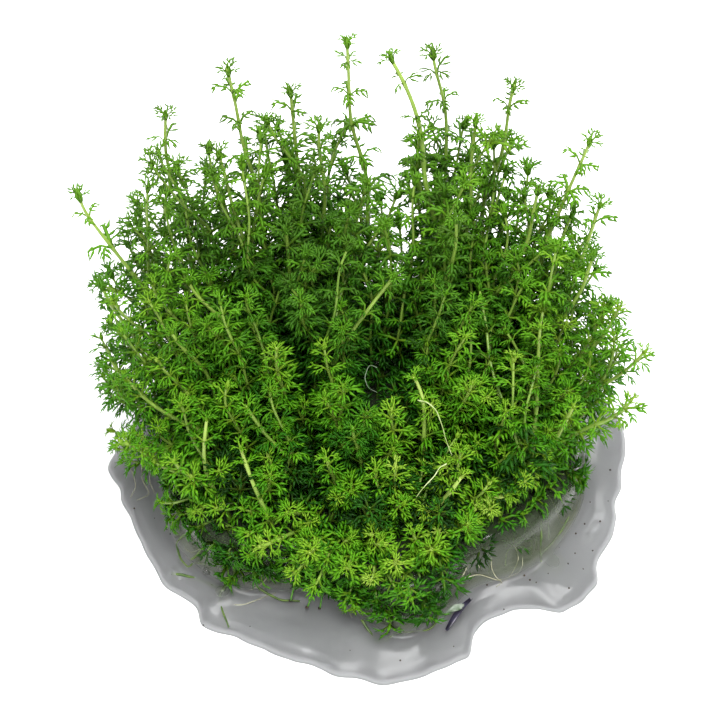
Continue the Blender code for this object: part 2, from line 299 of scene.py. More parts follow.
def gelMaterial():
    look = gelLook
    material, tree = newMaterial("milkyJelly")
    inside, onBlock = byHeight(tree, look["edgeHeights"]), byHeight(tree, look["blockHeights"])
    ripples = objectNoise(tree, look["rippleScale"])
    crinkles = objectNoise(tree, look["crinkleScale"], look["crinkleStretch"], look["crinkleDetail"])
    relief = addNode(tree, "ShaderNodeMix", {"Factor": onBlock, "A": ripples, "B": crinkles}).outputs[0]
    strength = spread(tree, onBlock, 0.0, 1.0, look["rippleStrength"], look["crinkleStrength"])
    bump = addNode(tree, "ShaderNodeBump", {
        "Height": relief, "Strength": strength, "Distance": look["reliefDepth"]})
    thin = mixColour(tree, inside, hexColour(look["edge"]), hexColour(look["skirt"]))
    # painted shade: the top turns dark green-grey under the foliage that stands on it
    shadeOnTop = byHeight(tree, look["topShadeHeights"], 0.0, look["topShadeShare"])
    thick = mixColour(tree, shadeOnTop, hexColour(look["block"]), hexColour(look["top"]))
    shader = addNode(tree, "ShaderNodeBsdfPrincipled", {
        "Base Color": mixColour(tree, onBlock, thin, thick), "IOR": look["ior"],
        "Normal": bump.outputs["Normal"],
        "Roughness": spread(tree, onBlock, 0.0, 1.0, look["skirtRoughness"], look["blockRoughness"]),
        "Specular IOR Level": spread(tree, onBlock, 0.0, 1.0, look["skirtGloss"], look["blockGloss"]),
        "Transmission Weight": spread(tree, inside, 0.0, 1.0, look["edgeClear"], look["clear"])})
    depth = addNode(tree, "ShaderNodeVolumeAbsorption", {
        "Color": hexColour(look["deep"]), "Density": look["density"]})
    finishMaterial(tree, shader.outputs[0], depth.outputs[0])
    return material


mottle = dict(scale=700.0, span=(0.35, 0.65))


# plain small things in and on the jelly: roots, specks and so on
def plainMaterial(name, colour, second, roughness, ior=1.42, clear=0.0):
    material, tree = newMaterial(name)
    blend = spread(tree, objectNoise(tree, mottle["scale"]), *mottle["span"])
    mixed = mixColour(tree, blend, hexColour(colour), hexColour(second))
    shader = addNode(tree, "ShaderNodeBsdfPrincipled", {
        "Base Color": mixed, "Roughness": roughness, "IOR": ior, "Transmission Weight": clear})
    finishMaterial(tree, shader.outputs[0])
    return material


def jitter(rng, amount):
    return rng.uniform(-amount, amount)


# a rib of a leaf: a three-sided strip with its ridge on top, closed at its foot and pointed at its end
def addRib(bm, layer, points, widths, depth, sideways, upward, partFrom, partTo):
    rings = []
    last = len(points) - 1
    for place, (point, width) in enumerate(zip(points, widths)):
        edge = sideways * width / 2
        corners = [point] if place == last else [point - edge, point + edge, point + upward * width * depth]
        corners = [bm.verts.new(corner) for corner in corners]
        for corner in corners:
            corner[layer] = partFrom + (partTo - partFrom) * place / last
        rings.append(corners)
    bm.faces.new((rings[0][0], rings[0][2], rings[0][1]))
    for low, high in zip(rings, rings[1:]):
        for side in range(3):
            other = (side + 1) % 3
            if len(high) == 3:
                bm.faces.new((low[side], low[other], high[other], high[side]))
            else:
                bm.faces.new((low[side], low[other], high[0]))


# leaf shapes at unit length, growing along +X with +Z as the upper side; a lobe is (place, length)
leafKinds = [
    dict(name="fineLeaf", count=6, stops=(0.36, 0.74, 1.0), slopes=(38, 2, -42), stem=0.118, width=0.130,
         widest=0.34, depth=0.45, spread=(58, 32), curl=10, sag=0.42,
         lobes=((0.36, 0.42), (0.57, 0.44), (0.78, 0.34))),
    dict(name="slimLeaf", count=6, stops=(0.34, 0.72, 1.0), slopes=(34, -4, -44), stem=0.090, width=0.114,
         widest=0.42, depth=0.45, spread=(37, 23), curl=11, sag=0.26, lobes=((0.38, 0.50), (0.65, 0.42))),
    dict(name="broadLeaf", count=6, stops=(0.50, 1.0), slopes=(16, -16), stem=0.108, width=0.134,
         widest=0.48, depth=0.40, spread=(38, 23), curl=9, sag=0.15, lobes=((0.37, 0.54), (0.60, 0.44))),
]
# what they share: angles in degrees, and the value of "tip" at the end of the rib and along a lobe
leafHabit = dict(bend=14, slopeJitter=7, footWidth=1.1, endWidth=0.9, missing=0.12, angleJitter=8,
                 lengths=(0.82, 1.15), sags=(0.4, 1.3), sagAtMiddle=0.15, curls=(0.8, -1.2),
                 ribTip=0.9, lobeFoot=0.4, lobeMiddle=0.65, lobeTip=1.0)
fineKind, slimKind, broadKind = range(len(leafKinds))
shapeCount = leafKinds[0]["count"]


# a lobe: pointed at both ends and widest in between, so it needs only six faces
def addLobe(bm, layer, root, middle, end, width, depth, sideways, upward):
    ends = [bm.verts.new(root), bm.verts.new(end)]
    edge = sideways * width / 2
    corners = (middle - edge, middle + edge, middle + upward * width * depth)
    ring = [bm.verts.new(corner) for corner in corners]
    ends[0][layer] = leafHabit["lobeFoot"]
    ends[1][layer] = leafHabit["lobeTip"]
    for side in range(3):
        ring[side][layer] = leafHabit["lobeMiddle"]
        other = (side + 1) % 3
        bm.faces.new((ring[side], ring[other], ends[1]))
        bm.faces.new((ring[other], ring[side], ends[0]))


def makeLeaf(kind, number):
    habit = leafHabit
    rng = random.Random("%s%d" % (kind["name"], number))
    bm = bmesh.new()
    layer = bm.verts.layers.float.new("tip")
    side, up = Vector((0, 1, 0)), Vector((0, 0, 1))
    stops = (0.0,) + kind["stops"]
    bend = jitter(rng, habit["bend"])
    spine, ways = [Vector((0, 0, 0))], []
    for step, slope in enumerate(kind["slopes"]):
        tilt = math.radians(slope + jitter(rng, habit["slopeJitter"]))
        turn = math.radians(bend * step)
        ways.append(Vector((math.cos(tilt) * math.cos(turn), math.sin(turn), math.sin(tilt))))
        spine.append(spine[-1] + ways[-1] * (stops[step + 1] - stops[step]))
    stem, width = kind["stem"], kind["width"]
    wide, narrow = kind["spread"]
    widths = [stem * habit["footWidth"]] + [stem] * (len(spine) - 3) + [width * habit["endWidth"], 0]
    addRib(bm, layer, spine, widths, kind["depth"], side, up, 0.0, habit["ribTip"])
    for place, reach in kind["lobes"]:
        step = sum(1 for stop in kind["stops"][:-1] if place >= stop)
        way = ways[step]
        root = spine[step] + way * (place - stops[step])
        over = side.cross(way).normalized()
        over = over if over.z > 0 else -over
        for hand in (-1, 1):
            if rng.random() < habit["missing"]:
                continue
            angle = wide + (narrow - wide) * place + jitter(rng, habit["angleJitter"])
            length = reach * rng.uniform(*habit["lengths"])
            sag = over * kind["sag"] * length * rng.uniform(*habit["sags"])
            turns = [math.radians(angle + kind["curl"] * part) * hand for part in habit["curls"]]
            nearWay, farWay = [way * math.cos(turn) + side * math.sin(turn) for turn in turns]
            middle = root + nearWay * length * kind["widest"] - sag * habit["sagAtMiddle"]
            end = middle + farWay * length * (1 - kind["widest"]) - sag * (1 - habit["sagAtMiddle"])
            across = (end - root).cross(over).normalized()
            addLobe(bm, layer, root, middle, end, width, kind["depth"], across, over)
    bmesh.ops.recalc_face_normals(bm, faces=bm.faces)
    return addPiece("%s%d" % (kind["name"], number), bm)


# a closed bud at unit length: young leaves folded round the stem's end, pointing along +Z
budKind = dict(count=3, scales=6, turn=2.4, turnJitter=0.3, length=0.75, innerLonger=0.3,
               lengths=(0.85, 1.1), belly=0.19, innerThinner=0.11, flare=0.10, innerCloser=0.09,
               footOut=0.06, footDown=0.15, bellyAt=0.35, neckAt=0.70, neck=0.8,
               width=0.28, widths=(0.8, 1.2, 0.7, 0), depth=0.4, tips=(0.3, 1.0))


def makeBud(number):
    kind = budKind
    rng = random.Random("bud%d" % number)
    bm = bmesh.new()
    layer = bm.verts.layers.float.new("tip")
    up = Vector((0, 0, 1))
    for scale in range(kind["scales"]):
        inner = scale / kind["scales"]
        angle = scale * kind["turn"] + jitter(rng, kind["turnJitter"])
        out = Vector((math.cos(angle), math.sin(angle), 0))
        length = (kind["length"] + kind["innerLonger"] * inner) * rng.uniform(*kind["lengths"])
        belly = kind["belly"] - kind["innerThinner"] * inner
        flare = kind["flare"] - kind["innerCloser"] * inner
        points = [out * kind["footOut"] - up * kind["footDown"],
                  out * belly + up * length * kind["bellyAt"],
                  out * (belly * kind["neck"]) + up * length * kind["neckAt"],
                  out * flare + up * length]
        widths = [kind["width"] * part for part in kind["widths"]]
        addRib(bm, layer, points, widths, kind["depth"], up.cross(out), out, *kind["tips"])
    bmesh.ops.recalc_face_normals(bm, faces=bm.faces)
    return addPiece("bud%d" % number, bm)


# the shapes are named by number, because the tree picks them in the order of their names
def leafShapes():
    shapes = bpy.data.collections.new("leafShapes")
    made = [makeLeaf(kind, number) for kind in leafKinds for number in range(kind["count"])]
    made += [makeBud(number) for number in range(budKind["count"])]
    for number, shape in enumerate(made):
        shape.name = "shape%02d" % number
        bpy.context.scene.collection.objects.unlink(shape)
        shapes.objects.link(shape)
    return shapes


# the tree that clothes a stem group: edges become stems, loose points become whorls and buds
shootTreeSet = {"Stem Sides": 7, "Turn Jitter": 0.30, "Lift Jitter": 0.22, "Twist": 0.30,
                "Smallest": 0.86, "Largest": 1.12, "Seed": 3}


def buildShootTree():
    tree = bpy.data.node_groups.new("milfoilShoot", "GeometryNodeTree")
    face = tree.interface
    face.new_socket(name="Geometry", in_out="INPUT", socket_type="NodeSocketGeometry")
    face.new_socket(name="Leaf Shapes", in_out="INPUT", socket_type="NodeSocketCollection")
    face.new_socket(name="Stem Material", in_out="INPUT", socket_type="NodeSocketMaterial")
    face.new_socket(name="Leaf Material", in_out="INPUT", socket_type="NodeSocketMaterial")
    for name in shootTreeSet:
        kind = "NodeSocketInt" if name in ("Stem Sides", "Seed") else "NodeSocketFloat"
        face.new_socket(name=name, in_out="INPUT", socket_type=kind)
    face.new_socket(name="Geometry", in_out="OUTPUT", socket_type="NodeSocketGeometry")
    given = tree.nodes.new("NodeGroupInput").outputs

    def named(name, kind="FLOAT"):
        node = addNode(tree, "GeometryNodeInputNamedAttribute", {"Name": name}, data_type=kind)
        return socketOf(node.outputs, "Attribute")

    def sums(operation, first, second):
        return combine(tree, operation, first, second)

    def randomly(low, high, salt):  # each use has its own salt, so that the values are unrelated
        seed = sums("ADD", given["Seed"], salt)
        node = addNode(tree, "FunctionNodeRandomValue", {"Min": low, "Max": high, "Seed": seed},
                       data_type="FLOAT")
        return socketOf(node.outputs, "Value")

    def turned(rotation, axis, angle):
        by = addNode(tree, "FunctionNodeAxisAngleToRotation", {"Axis": axis, "Angle": angle}).outputs[0]
        node = addNode(tree, "FunctionNodeRotateRotation", {"Rotation": rotation, "Rotate By": by},
                       rotation_space="LOCAL")
        return node.outputs[0]

    curve = addNode(tree, "GeometryNodeMeshToCurve", {"Mesh": given["Geometry"]})
    ring = addNode(tree, "GeometryNodeCurvePrimitiveCircle", {
        "Resolution": given["Stem Sides"], "Radius": 1.0})
    tube = addNode(tree, "GeometryNodeCurveToMesh", {
        "Curve": curve.outputs[0], "Profile Curve": ring.outputs[0], "Scale": named("thick"),
        "Fill Caps": True})
    stems = addNode(tree, "GeometryNodeSetMaterial", {
        "Geometry": tube.outputs[0], "Material": given["Stem Material"]})
    bare = 0.5  # a stem's points have no leaves, whorls and buds have at least one
    isWhorl = addNode(tree, "FunctionNodeCompare", {"A": named("leaves"), "B": bare},
                      data_type="FLOAT", operation="GREATER_THAN").outputs[0]
    points = addNode(tree, "GeometryNodeMeshToPoints", {"Mesh": given["Geometry"], "Selection": isWhorl})
    spots = addNode(tree, "GeometryNodeDuplicateElements", {
        "Geometry": points.outputs[0], "Amount": named("leaves")}, domain="POINT")
    share = sums("DIVIDE", spots.outputs["Duplicate Index"], named("leaves"))
    around = sums("ADD", sums("MULTIPLY", share, 2 * math.pi), named("turn"))
    swerve = sums("MULTIPLY", randomly(-1.0, 1.0, 11), given["Turn Jitter"])
    lift = sums("ADD", named("lift"), sums("MULTIPLY", randomly(-1.0, 1.0, 12), given["Lift Jitter"]))
    twist = sums("MULTIPLY", randomly(-1.0, 1.0, 13), given["Twist"])
    sideways = (1.0, 0.3, 0.0)  # any way that no stem points in
    stand = addNode(tree, "FunctionNodeAxesToRotation", {
        "Primary Axis": named("way", "FLOAT_VECTOR"), "Secondary Axis": sideways},
        primary_axis="Z", secondary_axis="X").outputs[0]
    spun = turned(stand, (0, 0, 1), sums("ADD", around, swerve))
    raised = turned(spun, (0, 1, 0), sums("MULTIPLY", lift, -1.0))
    rolled = turned(raised, (1, 0, 0), twist)
    size = sums("MULTIPLY", named("size"), randomly(given["Smallest"], given["Largest"], 14))
    first = named("firstShape")
    belowOne = 0.999  # at 1 the pick would be the next kind's first shape
    pick = sums("MULTIPLY", randomly(0.0, belowOne, 15), named("shapes"))
    choice = sums("ADD", first, sums("FLOOR", pick, 0))
    shapes = addNode(tree, "GeometryNodeCollectionInfo", {
        "Collection": given["Leaf Shapes"], "Separate Children": True, "Reset Children": True})
    leaves = addNode(tree, "GeometryNodeInstanceOnPoints", {
        "Points": spots.outputs["Geometry"], "Instance": shapes.outputs[0], "Pick Instance": True,
        "Instance Index": choice, "Rotation": rolled, "Scale": size})
    real = addNode(tree, "GeometryNodeRealizeInstances", {"Geometry": leaves.outputs[0]})
    foliage = addNode(tree, "GeometryNodeSetMaterial", {
        "Geometry": real.outputs[0], "Material": given["Leaf Material"]})
    both = addNode(tree, "GeometryNodeJoinGeometry")
    tree.links.new(stems.outputs[0], both.inputs[0])
    tree.links.new(foliage.outputs[0], both.inputs[0])
    smooth = addNode(tree, "GeometryNodeSetShadeSmooth", {"Geometry": both.outputs[0]})
    addNode(tree, "NodeGroupOutput", {0: smooth.outputs[0]})
    return tree


# runs the tree on a guide object and keeps the result as a plain mesh
def clothe(guide, tree, shapes, stemSkin, leafSkin, name):
    modifier = guide.modifiers.new("grow", "NODES")
    modifier.node_group = tree
    keys = {item.name: item.identifier for item in tree.interface.items_tree
            if item.item_type == "SOCKET" and item.in_out == "INPUT"}
    modifier[keys["Leaf Shapes"]] = shapes
    modifier[keys["Stem Material"]] = stemSkin
    modifier[keys["Leaf Material"]] = leafSkin
    for label, value in shootTreeSet.items():
        modifier[keys[label]] = value
    deps = bpy.context.evaluated_depsgraph_get()
    mesh = bpy.data.meshes.new_from_object(guide.evaluated_get(deps))
    mesh.name = name
    bpy.data.objects.remove(guide, do_unlink=True)
    piece = bpy.data.objects.new(name, mesh)
    bpy.context.scene.collection.objects.link(piece)
    return piece


# where the shoots stand, as in the solids: tip x, y, z, foot x, y, then the stem's bow, all in mm
plant = dict(
    footDepth=6.0, fromShoulder=1.0,
    tall=[
        (-46.5, 13, 56, -29, 9, -1, 0), (-33, 24, 63, -26, 16, -2, 0), (-23.5, 30, 66.5, -15, 22, -1, 0),
        (-25, 21, 57, -20, 14, 2, 0), (-13.5, 31, 61, -12, 28, 0, 0), (-9, 25, 59, -8, 21, 0, 0),
        (-4.5, 34, 69, 1, 24.5, -1, 0), (2, 33, 66.5, 3, 18.5, 9, -2), (9, 35, 65.5, 9, 27, 3, 1),
        (16, 28, 57.5, 12, 21.5, 1, 0), (22, 30, 63, 17.5, 25, -2, 0), (26, 19, 51, 17, 14.5, 1, 0),
        (34, 22, 59, 25, 15.5, -2, 0), (35.5, 14, 53, 28.5, 9, -1, 0), (34, 6, 50, 23, 7, 1, 0),
        (38.5, 2.5, 41, 29, 4, 0, 0), (42.5, -3, 37, 29.5, 0, 0, -1), (-38.5, 16, 47, -24, 3.5, 0, 2),
        (-43.5, 6, 43, -31, 1.5, 0, 0), (-42, -3, 35, -30.5, -5.5, 0, 0), (3, 5, 46, -7, 3, -2, 0),
        (12.5, 10, 54, 10, 13, 1, 0), (-14.5, 14, 47, -10, 13, 0, 0), (-30, 8, 42, -17, 6.5, 0, 0),
        (26, -0.5, 40, 24.5, -12, 0, 0),
    ],
    front=[
        (-26.7, -10.9, 30, -23.5, -17.5, -2.5, 0), (-20.5, -9.5, 31, -12, -13, 0, 0),
        (-21.5, -14.4, 27, -16, -21, -1.5, 0), (-13.9, -22.7, 20.8, -11.5, -18.5, 0, 0),
        (-18.1, -27.5, 18.2, -13.2, -21.4, 0, 0), (-32, -15.5, 25, -27, -12.8, 0, 0),
        (-16.7, -17.6, 24, -16.5, -14.5, 0, 0), (-7.9, -15.8, 26, -6.5, -14, 0, 0),
        (-39.4, -6, 33.5, -26, -5.5, 0, 0), (-40.5, -12.5, 26, -29.5, -9, 0, 0),
        (-5.3, -7, 33.5, -7, -7.5, 0, 0), (5.9, -6.4, 34.5, 8, -9.5, 1.2, 0),
        (-3.6, -12.1, 28.8, -1.5, -12.5, 0, 0), (13.8, -17.8, 24.2, 9, -19.5, 0, 0),
        (21, -17.3, 18, 14, -16, 0, 0.5), (20.4, -10.1, 30.8, 19.5, -9, 0, 0),
        (4.6, -21.5, 21.5, 3.5, -17.5, 0, 0), (-10.4, -28.7, 18, -8, -22, 0, 0),
        (-4.5, -31, 17.2, -3, -23.5, 0, 0), (3, -30.5, 17.5, 3, -25.5, 0, 0),
        (8.5, -28.1, 18, 8.5, -24.5, 0, 0), (14.5, -24, 19.5, 13, -20.5, 0, 0),
        (31.4, -9.5, 31, 27, -9.5, 0, 0), (40.5, -9, 32, 29.5, -5.5, 0, 0),
        (15.3, -6.8, 33.8, 11.5, -4, 0, 0), (-32.4, -1.2, 39.8, -25, -1, 0, 0),
        (-15.7, -3.2, 37.8, -14.5, -2, 0, 0),
    ],
    longJointed=(26, 28, 37, 39, 40, 48),
    thickness={8: 1.5, 26: 1.3, 28: 1.3, 37: 1.3, 39: 1.5, 40: 1.6, 48: 1.3}, usualThickness=1.1,
)
# the crown between those shoots is filled by finer ones, one to each free spot of a loose grid
crown = dict(
    seed=5, reach=10, spacing=4.75, rowStep=0.866, jitter=0.32, clearOfTips=2.2,
    front=16.5, back=64.0, depth=36.0,  # heights of the crown's top at its front and its back
    lowest=(0.80, 0.56), towardsLow=1.4,  # the lowest tips in front and behind, as shares of that height
    rimSteps=46, rimLevels=9, rimLevel=7.0, rimLowest=17.0,  # tips round the sides, in levels
    rimHighest=0.82, rimTurn=0.35, rimPlaces=(-2.0, 0.8), rimShift=0.4,
    edge=[(5, 39), (30, 38.5), (60, 37), (90, 35.5), (120, 38), (145, 43), (162, 45.5), (180, 44.5),
          (195, 42.5), (205, 39.0), (220, 34.5), (232, 33.5), (245, 34), (259, 35), (272, 35), (283, 33.5),
          (292, 31), (305, 27.5), (320, 27.5), (335, 29.5), (346, 32.5), (355, 36.5)],
    seen=[  # tips that the photograph shows
        (-23.3, -7.2, 33.5), (-16.7, -7.7, 33.2), (-30.8, -9.3, 31.5), (-1.4, -10.3, 30.8),
        (2.6, -10.1, 31), (13.3, -14.8, 26.5), (-3.8, -26.3, 19), (-0.1, -17.2, 24.5), (3, -16.8, 25),
        (5.7, -25.3, 19.5), (1.7, -27.5, 18.5), (21.8, -4, 36.5), (14.4, -1.6, 39), (37.4, -1.4, 39.5),
        (-36, 2.3, 43), (-11.9, 2.3, 43), (-24.5, 2.3, 43), (-34.4, 20, 58.5), (-35.7, 14, 56.9),
        (-39.2, 12, 50.5), (-26.7, 22, 57.6), (-10.5, 30, 58.5), (-9.3, 20, 54.7), (-38.3, 18, 49.2),
        (-33, 12, 55.6), (-35.2, 16, 60.4), (-40.2, -2, 40.7), (-41.0, -8, 35.6), (-41.5, 2, 43.3)],
    gapFrom=(1.1, -11.7, 42), gapTo=(1.3, 11.7, 14), gapRadius=5.5,  # the dark gap runs between these
    halfWay=(0.9, 0.9, 0.6),  # a place lower down a shoot, as shares of its tip's
    patches=[  # painted shade in the hollows and painted light on the tufts: x, y, radius in mm and change of tone
        (-6, 7, 18, -0.07), (-19, 9, 5.5, -0.20), (-11, 12.5, 6, -0.20), (-6.5, -11.5, 4, -0.22),
        (10, 7, 6, -0.14), (17.5, -12.8, 3.5, -0.18), (17, -17, 15, 0.12), (-17.5, 0, 4.5, 0.12),
        (-5, -3.5, 4, 0.12), (6, -3.5, 4, 0.12), (10, -23, 7, 0.07), (-9.6, -24, 6, 0.06),
        (27, 3, 9, 0.02)],
    openings=[  # where the view passes through to the background: x, half width, lowest height up the view
        (0.0, 2.9, 51.0), (-9.2, 1.8, 55.5), (-39.5, 3.0, 46.5)],
)
# short sprigs: dark ones over the gel and just inside its wall, and some that hang over its shoulder
sprigSet = dict(
    reach=12, spacing=4.4, jitter=0.4, fromEdge=1.5, heights=(4, 10), lean=0.4, tone=0.02,
    sunkAngles=(190, 348, 5), sunkTurn=3, sunkDepths=(3.0, 5.0), sunkHeights=(4.0, 8.0), sunkLean=0.8,
    sunkLength=2.5, sunkTone=0.02, hangTurn=2, hangSpread=4, hangFrom=5.0,
    hanging=[  # angles from, to and step, then ranges of end height, of place past the wall and of tone
        (190, 208, 5, (8.5, 13.5), (-1.0, 1.2), (0.12, 0.50)),
        (208, 227, 3, (9.0, 12.5), (-1.0, 1.2), (0.02, 0.34)),
        (226, 247, 3, (4.5, 9.5), (-1.0, 1.2), (0.05, 0.42)),
        (238, 298, 4, (8.5, 13.5), (-1.0, 1.2), (0.12, 0.50)),
        (250, 266, 4, (4.0, 8.0), (-1.0, 1.2), (0.04, 0.36)),
        (256, 286, 4, (4.5, 8.0), (-1.0, 1.2), (0.15, 0.50)),
        (298, 341, 5, (12.4, 13.8), (-4.8, -3.4), (0.08, 0.45)),
        (342, 351, 4, (10.5, 12.8), (-1.6, 0.6), (0.12, 0.40))],
)
gelShape = dict(
    rim=[(8, 43.0), (18, 43.5), (34, 41.0), (50, 39.5), (66, 41.0), (84, 40.0), (100, 39.0), (118, 41.0),
         (134, 40.0), (150, 41.5), (164, 42.0), (177, 45.0), (184, 42.5), (198, 41.0), (212, 41.0),
         (222, 39.0), (227, 41.0), (236, 39.5), (252, 39.0), (264, 40.5), (275, 41.5), (284, 40.0),
         (292, 39.0), (297, 35.0), (307, 34.8), (313, 36.5), (318, 40.8), (328, 42.7), (333, 40.8),
         (344, 41.0), (356, 40.7)],
    block=[(0, 35.2), (22, 35.0), (45, 34.5), (70, 34.0), (92, 33.5), (115, 34.0), (140, 35.0),
           (165, 35.5), (190, 35.4), (205, 36.0), (216, 35.3), (228, 33.0), (240, 29.2), (256, 28.0),
           (267, 31.0), (277, 34.0), (290, 32.0), (303, 29.3), (318, 32.0), (333, 34.0), (346, 35.0)],
    ribs=480, skirtSteps=12, skirtTop=1.7, lipDrop=0.4, skirtRise=0.95, lipSag=0.4, fold=0.5, folds=7,
    scallop=0.8, scallopScale=230, shoulderIn=3.4, top=12.0, topPlaces=(0.75, 0.45),
    under=[(0.8, 0), (0.15, 0.02)],  # distances in from the rim, and heights
    lip=[(0, 0.12), (0.35, 0.45), (0.9, 0.85)], skirtFrom=1.8,
    wall=[(0, 3.0), (0.5, 4.4), (0.8, 6.2), (1.0, 8.2), (1.3, 9.9), (1.55, 10.5), (1.9, 11.0), (2.3, 11.4),
          (2.7, 11.7), (3.0, 11.9)],
    roughScale=180, fineScale=520, fineShift=(7, 3, 1), ripple=0.25, fineRipple=0.05,
    crinkle=0.55, roughCrinkle=0.8, fineCrinkle=0.12, topDip=0.1, topWaves=0.15,
    bumps=[  # x, y, height and width of the small risen places on the skirt
        (-41.9, 1.6, 0.9, 2.0), (-33.6, -21.2, 1.6, 1.3), (-27.4, -27.6, 0.8, 1.6),
        (-24.8, -25.4, 1.5, 1.1), (29, -19.5, 0.7, 2.4), (31.5, -24, 0.6, 2.0), (37.5, 1.5, 0.7, 3.2),
        (-38.5, -8, 0.4, 2.6), (8, -37, 0.4, 3.0), (-14, -33, 0.4, 3.5), (-19.6, -34.0, 0.35, 0.8),
        (-17.6, -34.8, 0.3, 0.8), (-14.4, -36.0, 0.35, 0.9), (-11.5, -36.2, 0.35, 0.8),
        (29.4, -23.6, 0.4, 0.8), (32.2, -24.3, 0.4, 0.9), (34.2, -23.4, 0.35, 0.8), (33.4, -25.4, 0.3, 0.7),
        (6.6, -35.4, 0.3, 0.9), (35.6, -12.5, 0.35, 1.0), (36.8, -10.8, 0.3, 0.8)],
)


# radius of a closed outline at an angle, on a smooth curve through its points
def outlineRadius(outline, angle):
    angle = angle % 360
    after = sum(1 for point in outline if point[0] <= angle)
    near = []
    for offset in (-2, -1, 0, 1):
        turn, place = divmod(after + offset, len(outline))
        near.append((outline[place][0] + 360 * turn, outline[place][1] * mm))
    (a0, r0), (a1, r1), (a2, r2), (a3, r3) = near
    t = (angle - a1) / (a2 - a1)
    slope1 = (r2 - r0) / (a2 - a0) * (a2 - a1)
    slope2 = (r3 - r1) / (a3 - a1) * (a2 - a1)
    start = (2 * t**3 - 3 * t**2 + 1) * r1 + (t**3 - 2 * t**2 + t) * slope1
    return start + (3 * t**2 - 2 * t**3) * r2 + (t**3 - t**2) * slope2


def polar(radius, angle, z):
    turned = math.radians(angle)
    return Vector((radius * math.cos(turned), radius * math.sin(turned), z))


def crownHeight(y):
    part = min(1.0, max(0.0, (y / mm + crown["depth"]) / (2 * crown["depth"])))
    return (crown["front"] + (crown["back"] - crown["front"]) * part * part * (3 - 2 * part)) * mm


def plantingPlan():
    plans = []
    for tipX, tipY, tipZ, footX, footY, bowX, bowY in plant["tall"] + plant["front"]:
        foot = Vector((footX, footY, gelShape["top"])) * mm
        plans.append((foot, Vector((tipX, tipY, tipZ)) * mm, Vector((bowX, bowY, 0)) * mm))
    return plans


def distanceToGap(point):
    start, end = Vector(crown["gapFrom"]) * mm, Vector(crown["gapTo"]) * mm
    part = (point - start).dot(end - start) / (end - start).length_squared
    return (start + (end - start) * min(1.0, max(0.0, part)) - point).length


# the openings run back along the view, so a tip further back is in one at a smaller height
def isInOpening(point):
    tilt = math.radians(cameraSet["elevation"])
    height = (point.z * math.cos(tilt) + point.y * math.sin(tilt)) / mm
    return any(abs(point.x / mm - x) < half and height > lowest for x, half, lowest in crown["openings"])


def angleOf(point):
    return math.degrees(math.atan2(point.y, point.x))


# how far out a stem's foot may be and still stand in the block
def footLimit(angle):
    return outlineRadius(gelShape["block"], angle) - (gelShape["shoulderIn"] + plant["fromShoulder"]) * mm


# clear of the tips that stand already; the dark gap is kept free of the tip and of its shoot's lower half
def isClear(spot, taken):
    lower = Vector(place * part for place, part in zip(spot, crown["halfWay"]))
    return min((tip.xy - spot.xy).length for tip in taken) > crown["clearOfTips"] * mm \
        and min(distanceToGap(spot), distanceToGap(lower)) > crown["gapRadius"] * mm


# a loose grid over the crown, its tips spread over the upper part of the crown's height
def gridSpots(rng, taken):
    found = []
    step = crown["spacing"] * mm
    cells = range(-crown["reach"], crown["reach"] + 1)
    for row in cells:
        for column in cells:
            x = (column + 0.5 * (row % 2) + jitter(rng, 1) * crown["jitter"]) * step
            y = (row * crown["rowStep"] + jitter(rng, 1) * crown["jitter"]) * step
            forward = min(1.0, max(0.0, 0.5 - y / mm / (2 * crown["depth"])))
            low = crown["lowest"][1] + (crown["lowest"][0] - crown["lowest"][1]) * forward
            part = low + (1.0 - low) * rng.random() ** crown["towardsLow"]
            spot = Vector((x, y, crownHeight(y) * part))
            if spot.xy.length < outlineRadius(crown["edge"], angleOf(spot)) and isClear(spot, taken):
                found.append(spot)
    return found


# levels of outward leaning tips round the crown's sides
def rimSpots(rng):
    found = []
    for step in range(crown["rimSteps"]):
        for level in range(crown["rimLevels"]):
            angle = 360 * (step + 0.5 * (level % 2) + jitter(rng, crown["rimTurn"])) / crown["rimSteps"]
            radius = outlineRadius(crown["edge"], angle) + rng.uniform(*crown["rimPlaces"]) * mm
            spot = polar(radius, angle, 0)
            high = level + jitter(rng, crown["rimShift"])
            spot.z = (crown["rimLowest"] + high * crown["rimLevel"]) * mm
            if spot.z < crownHeight(spot.y) * crown["rimHighest"]:
                found.append(spot)
    return found


# tips of the filling shoots, each listed with the planned shoot that it is nearest to
def crownSpots(plans):
    rng = random.Random(crown["seed"])
    found = [Vector(place) * mm for place in crown["seen"]]
    found += gridSpots(rng, [tip for _, tip, _ in plans] + found)
    found += rimSpots(rng)
    spots = [[] for _ in plans]
    for spot in found:
        if not isInOpening(spot):
            near = [(tip - spot).length for _, tip, _ in plans]
            spots[near.index(min(near))].append(spot)
    return spots


def leaning(rng, tilt, height):
    return Vector((jitter(rng, 1) * tilt, jitter(rng, 1) * tilt, 1.0)) * height


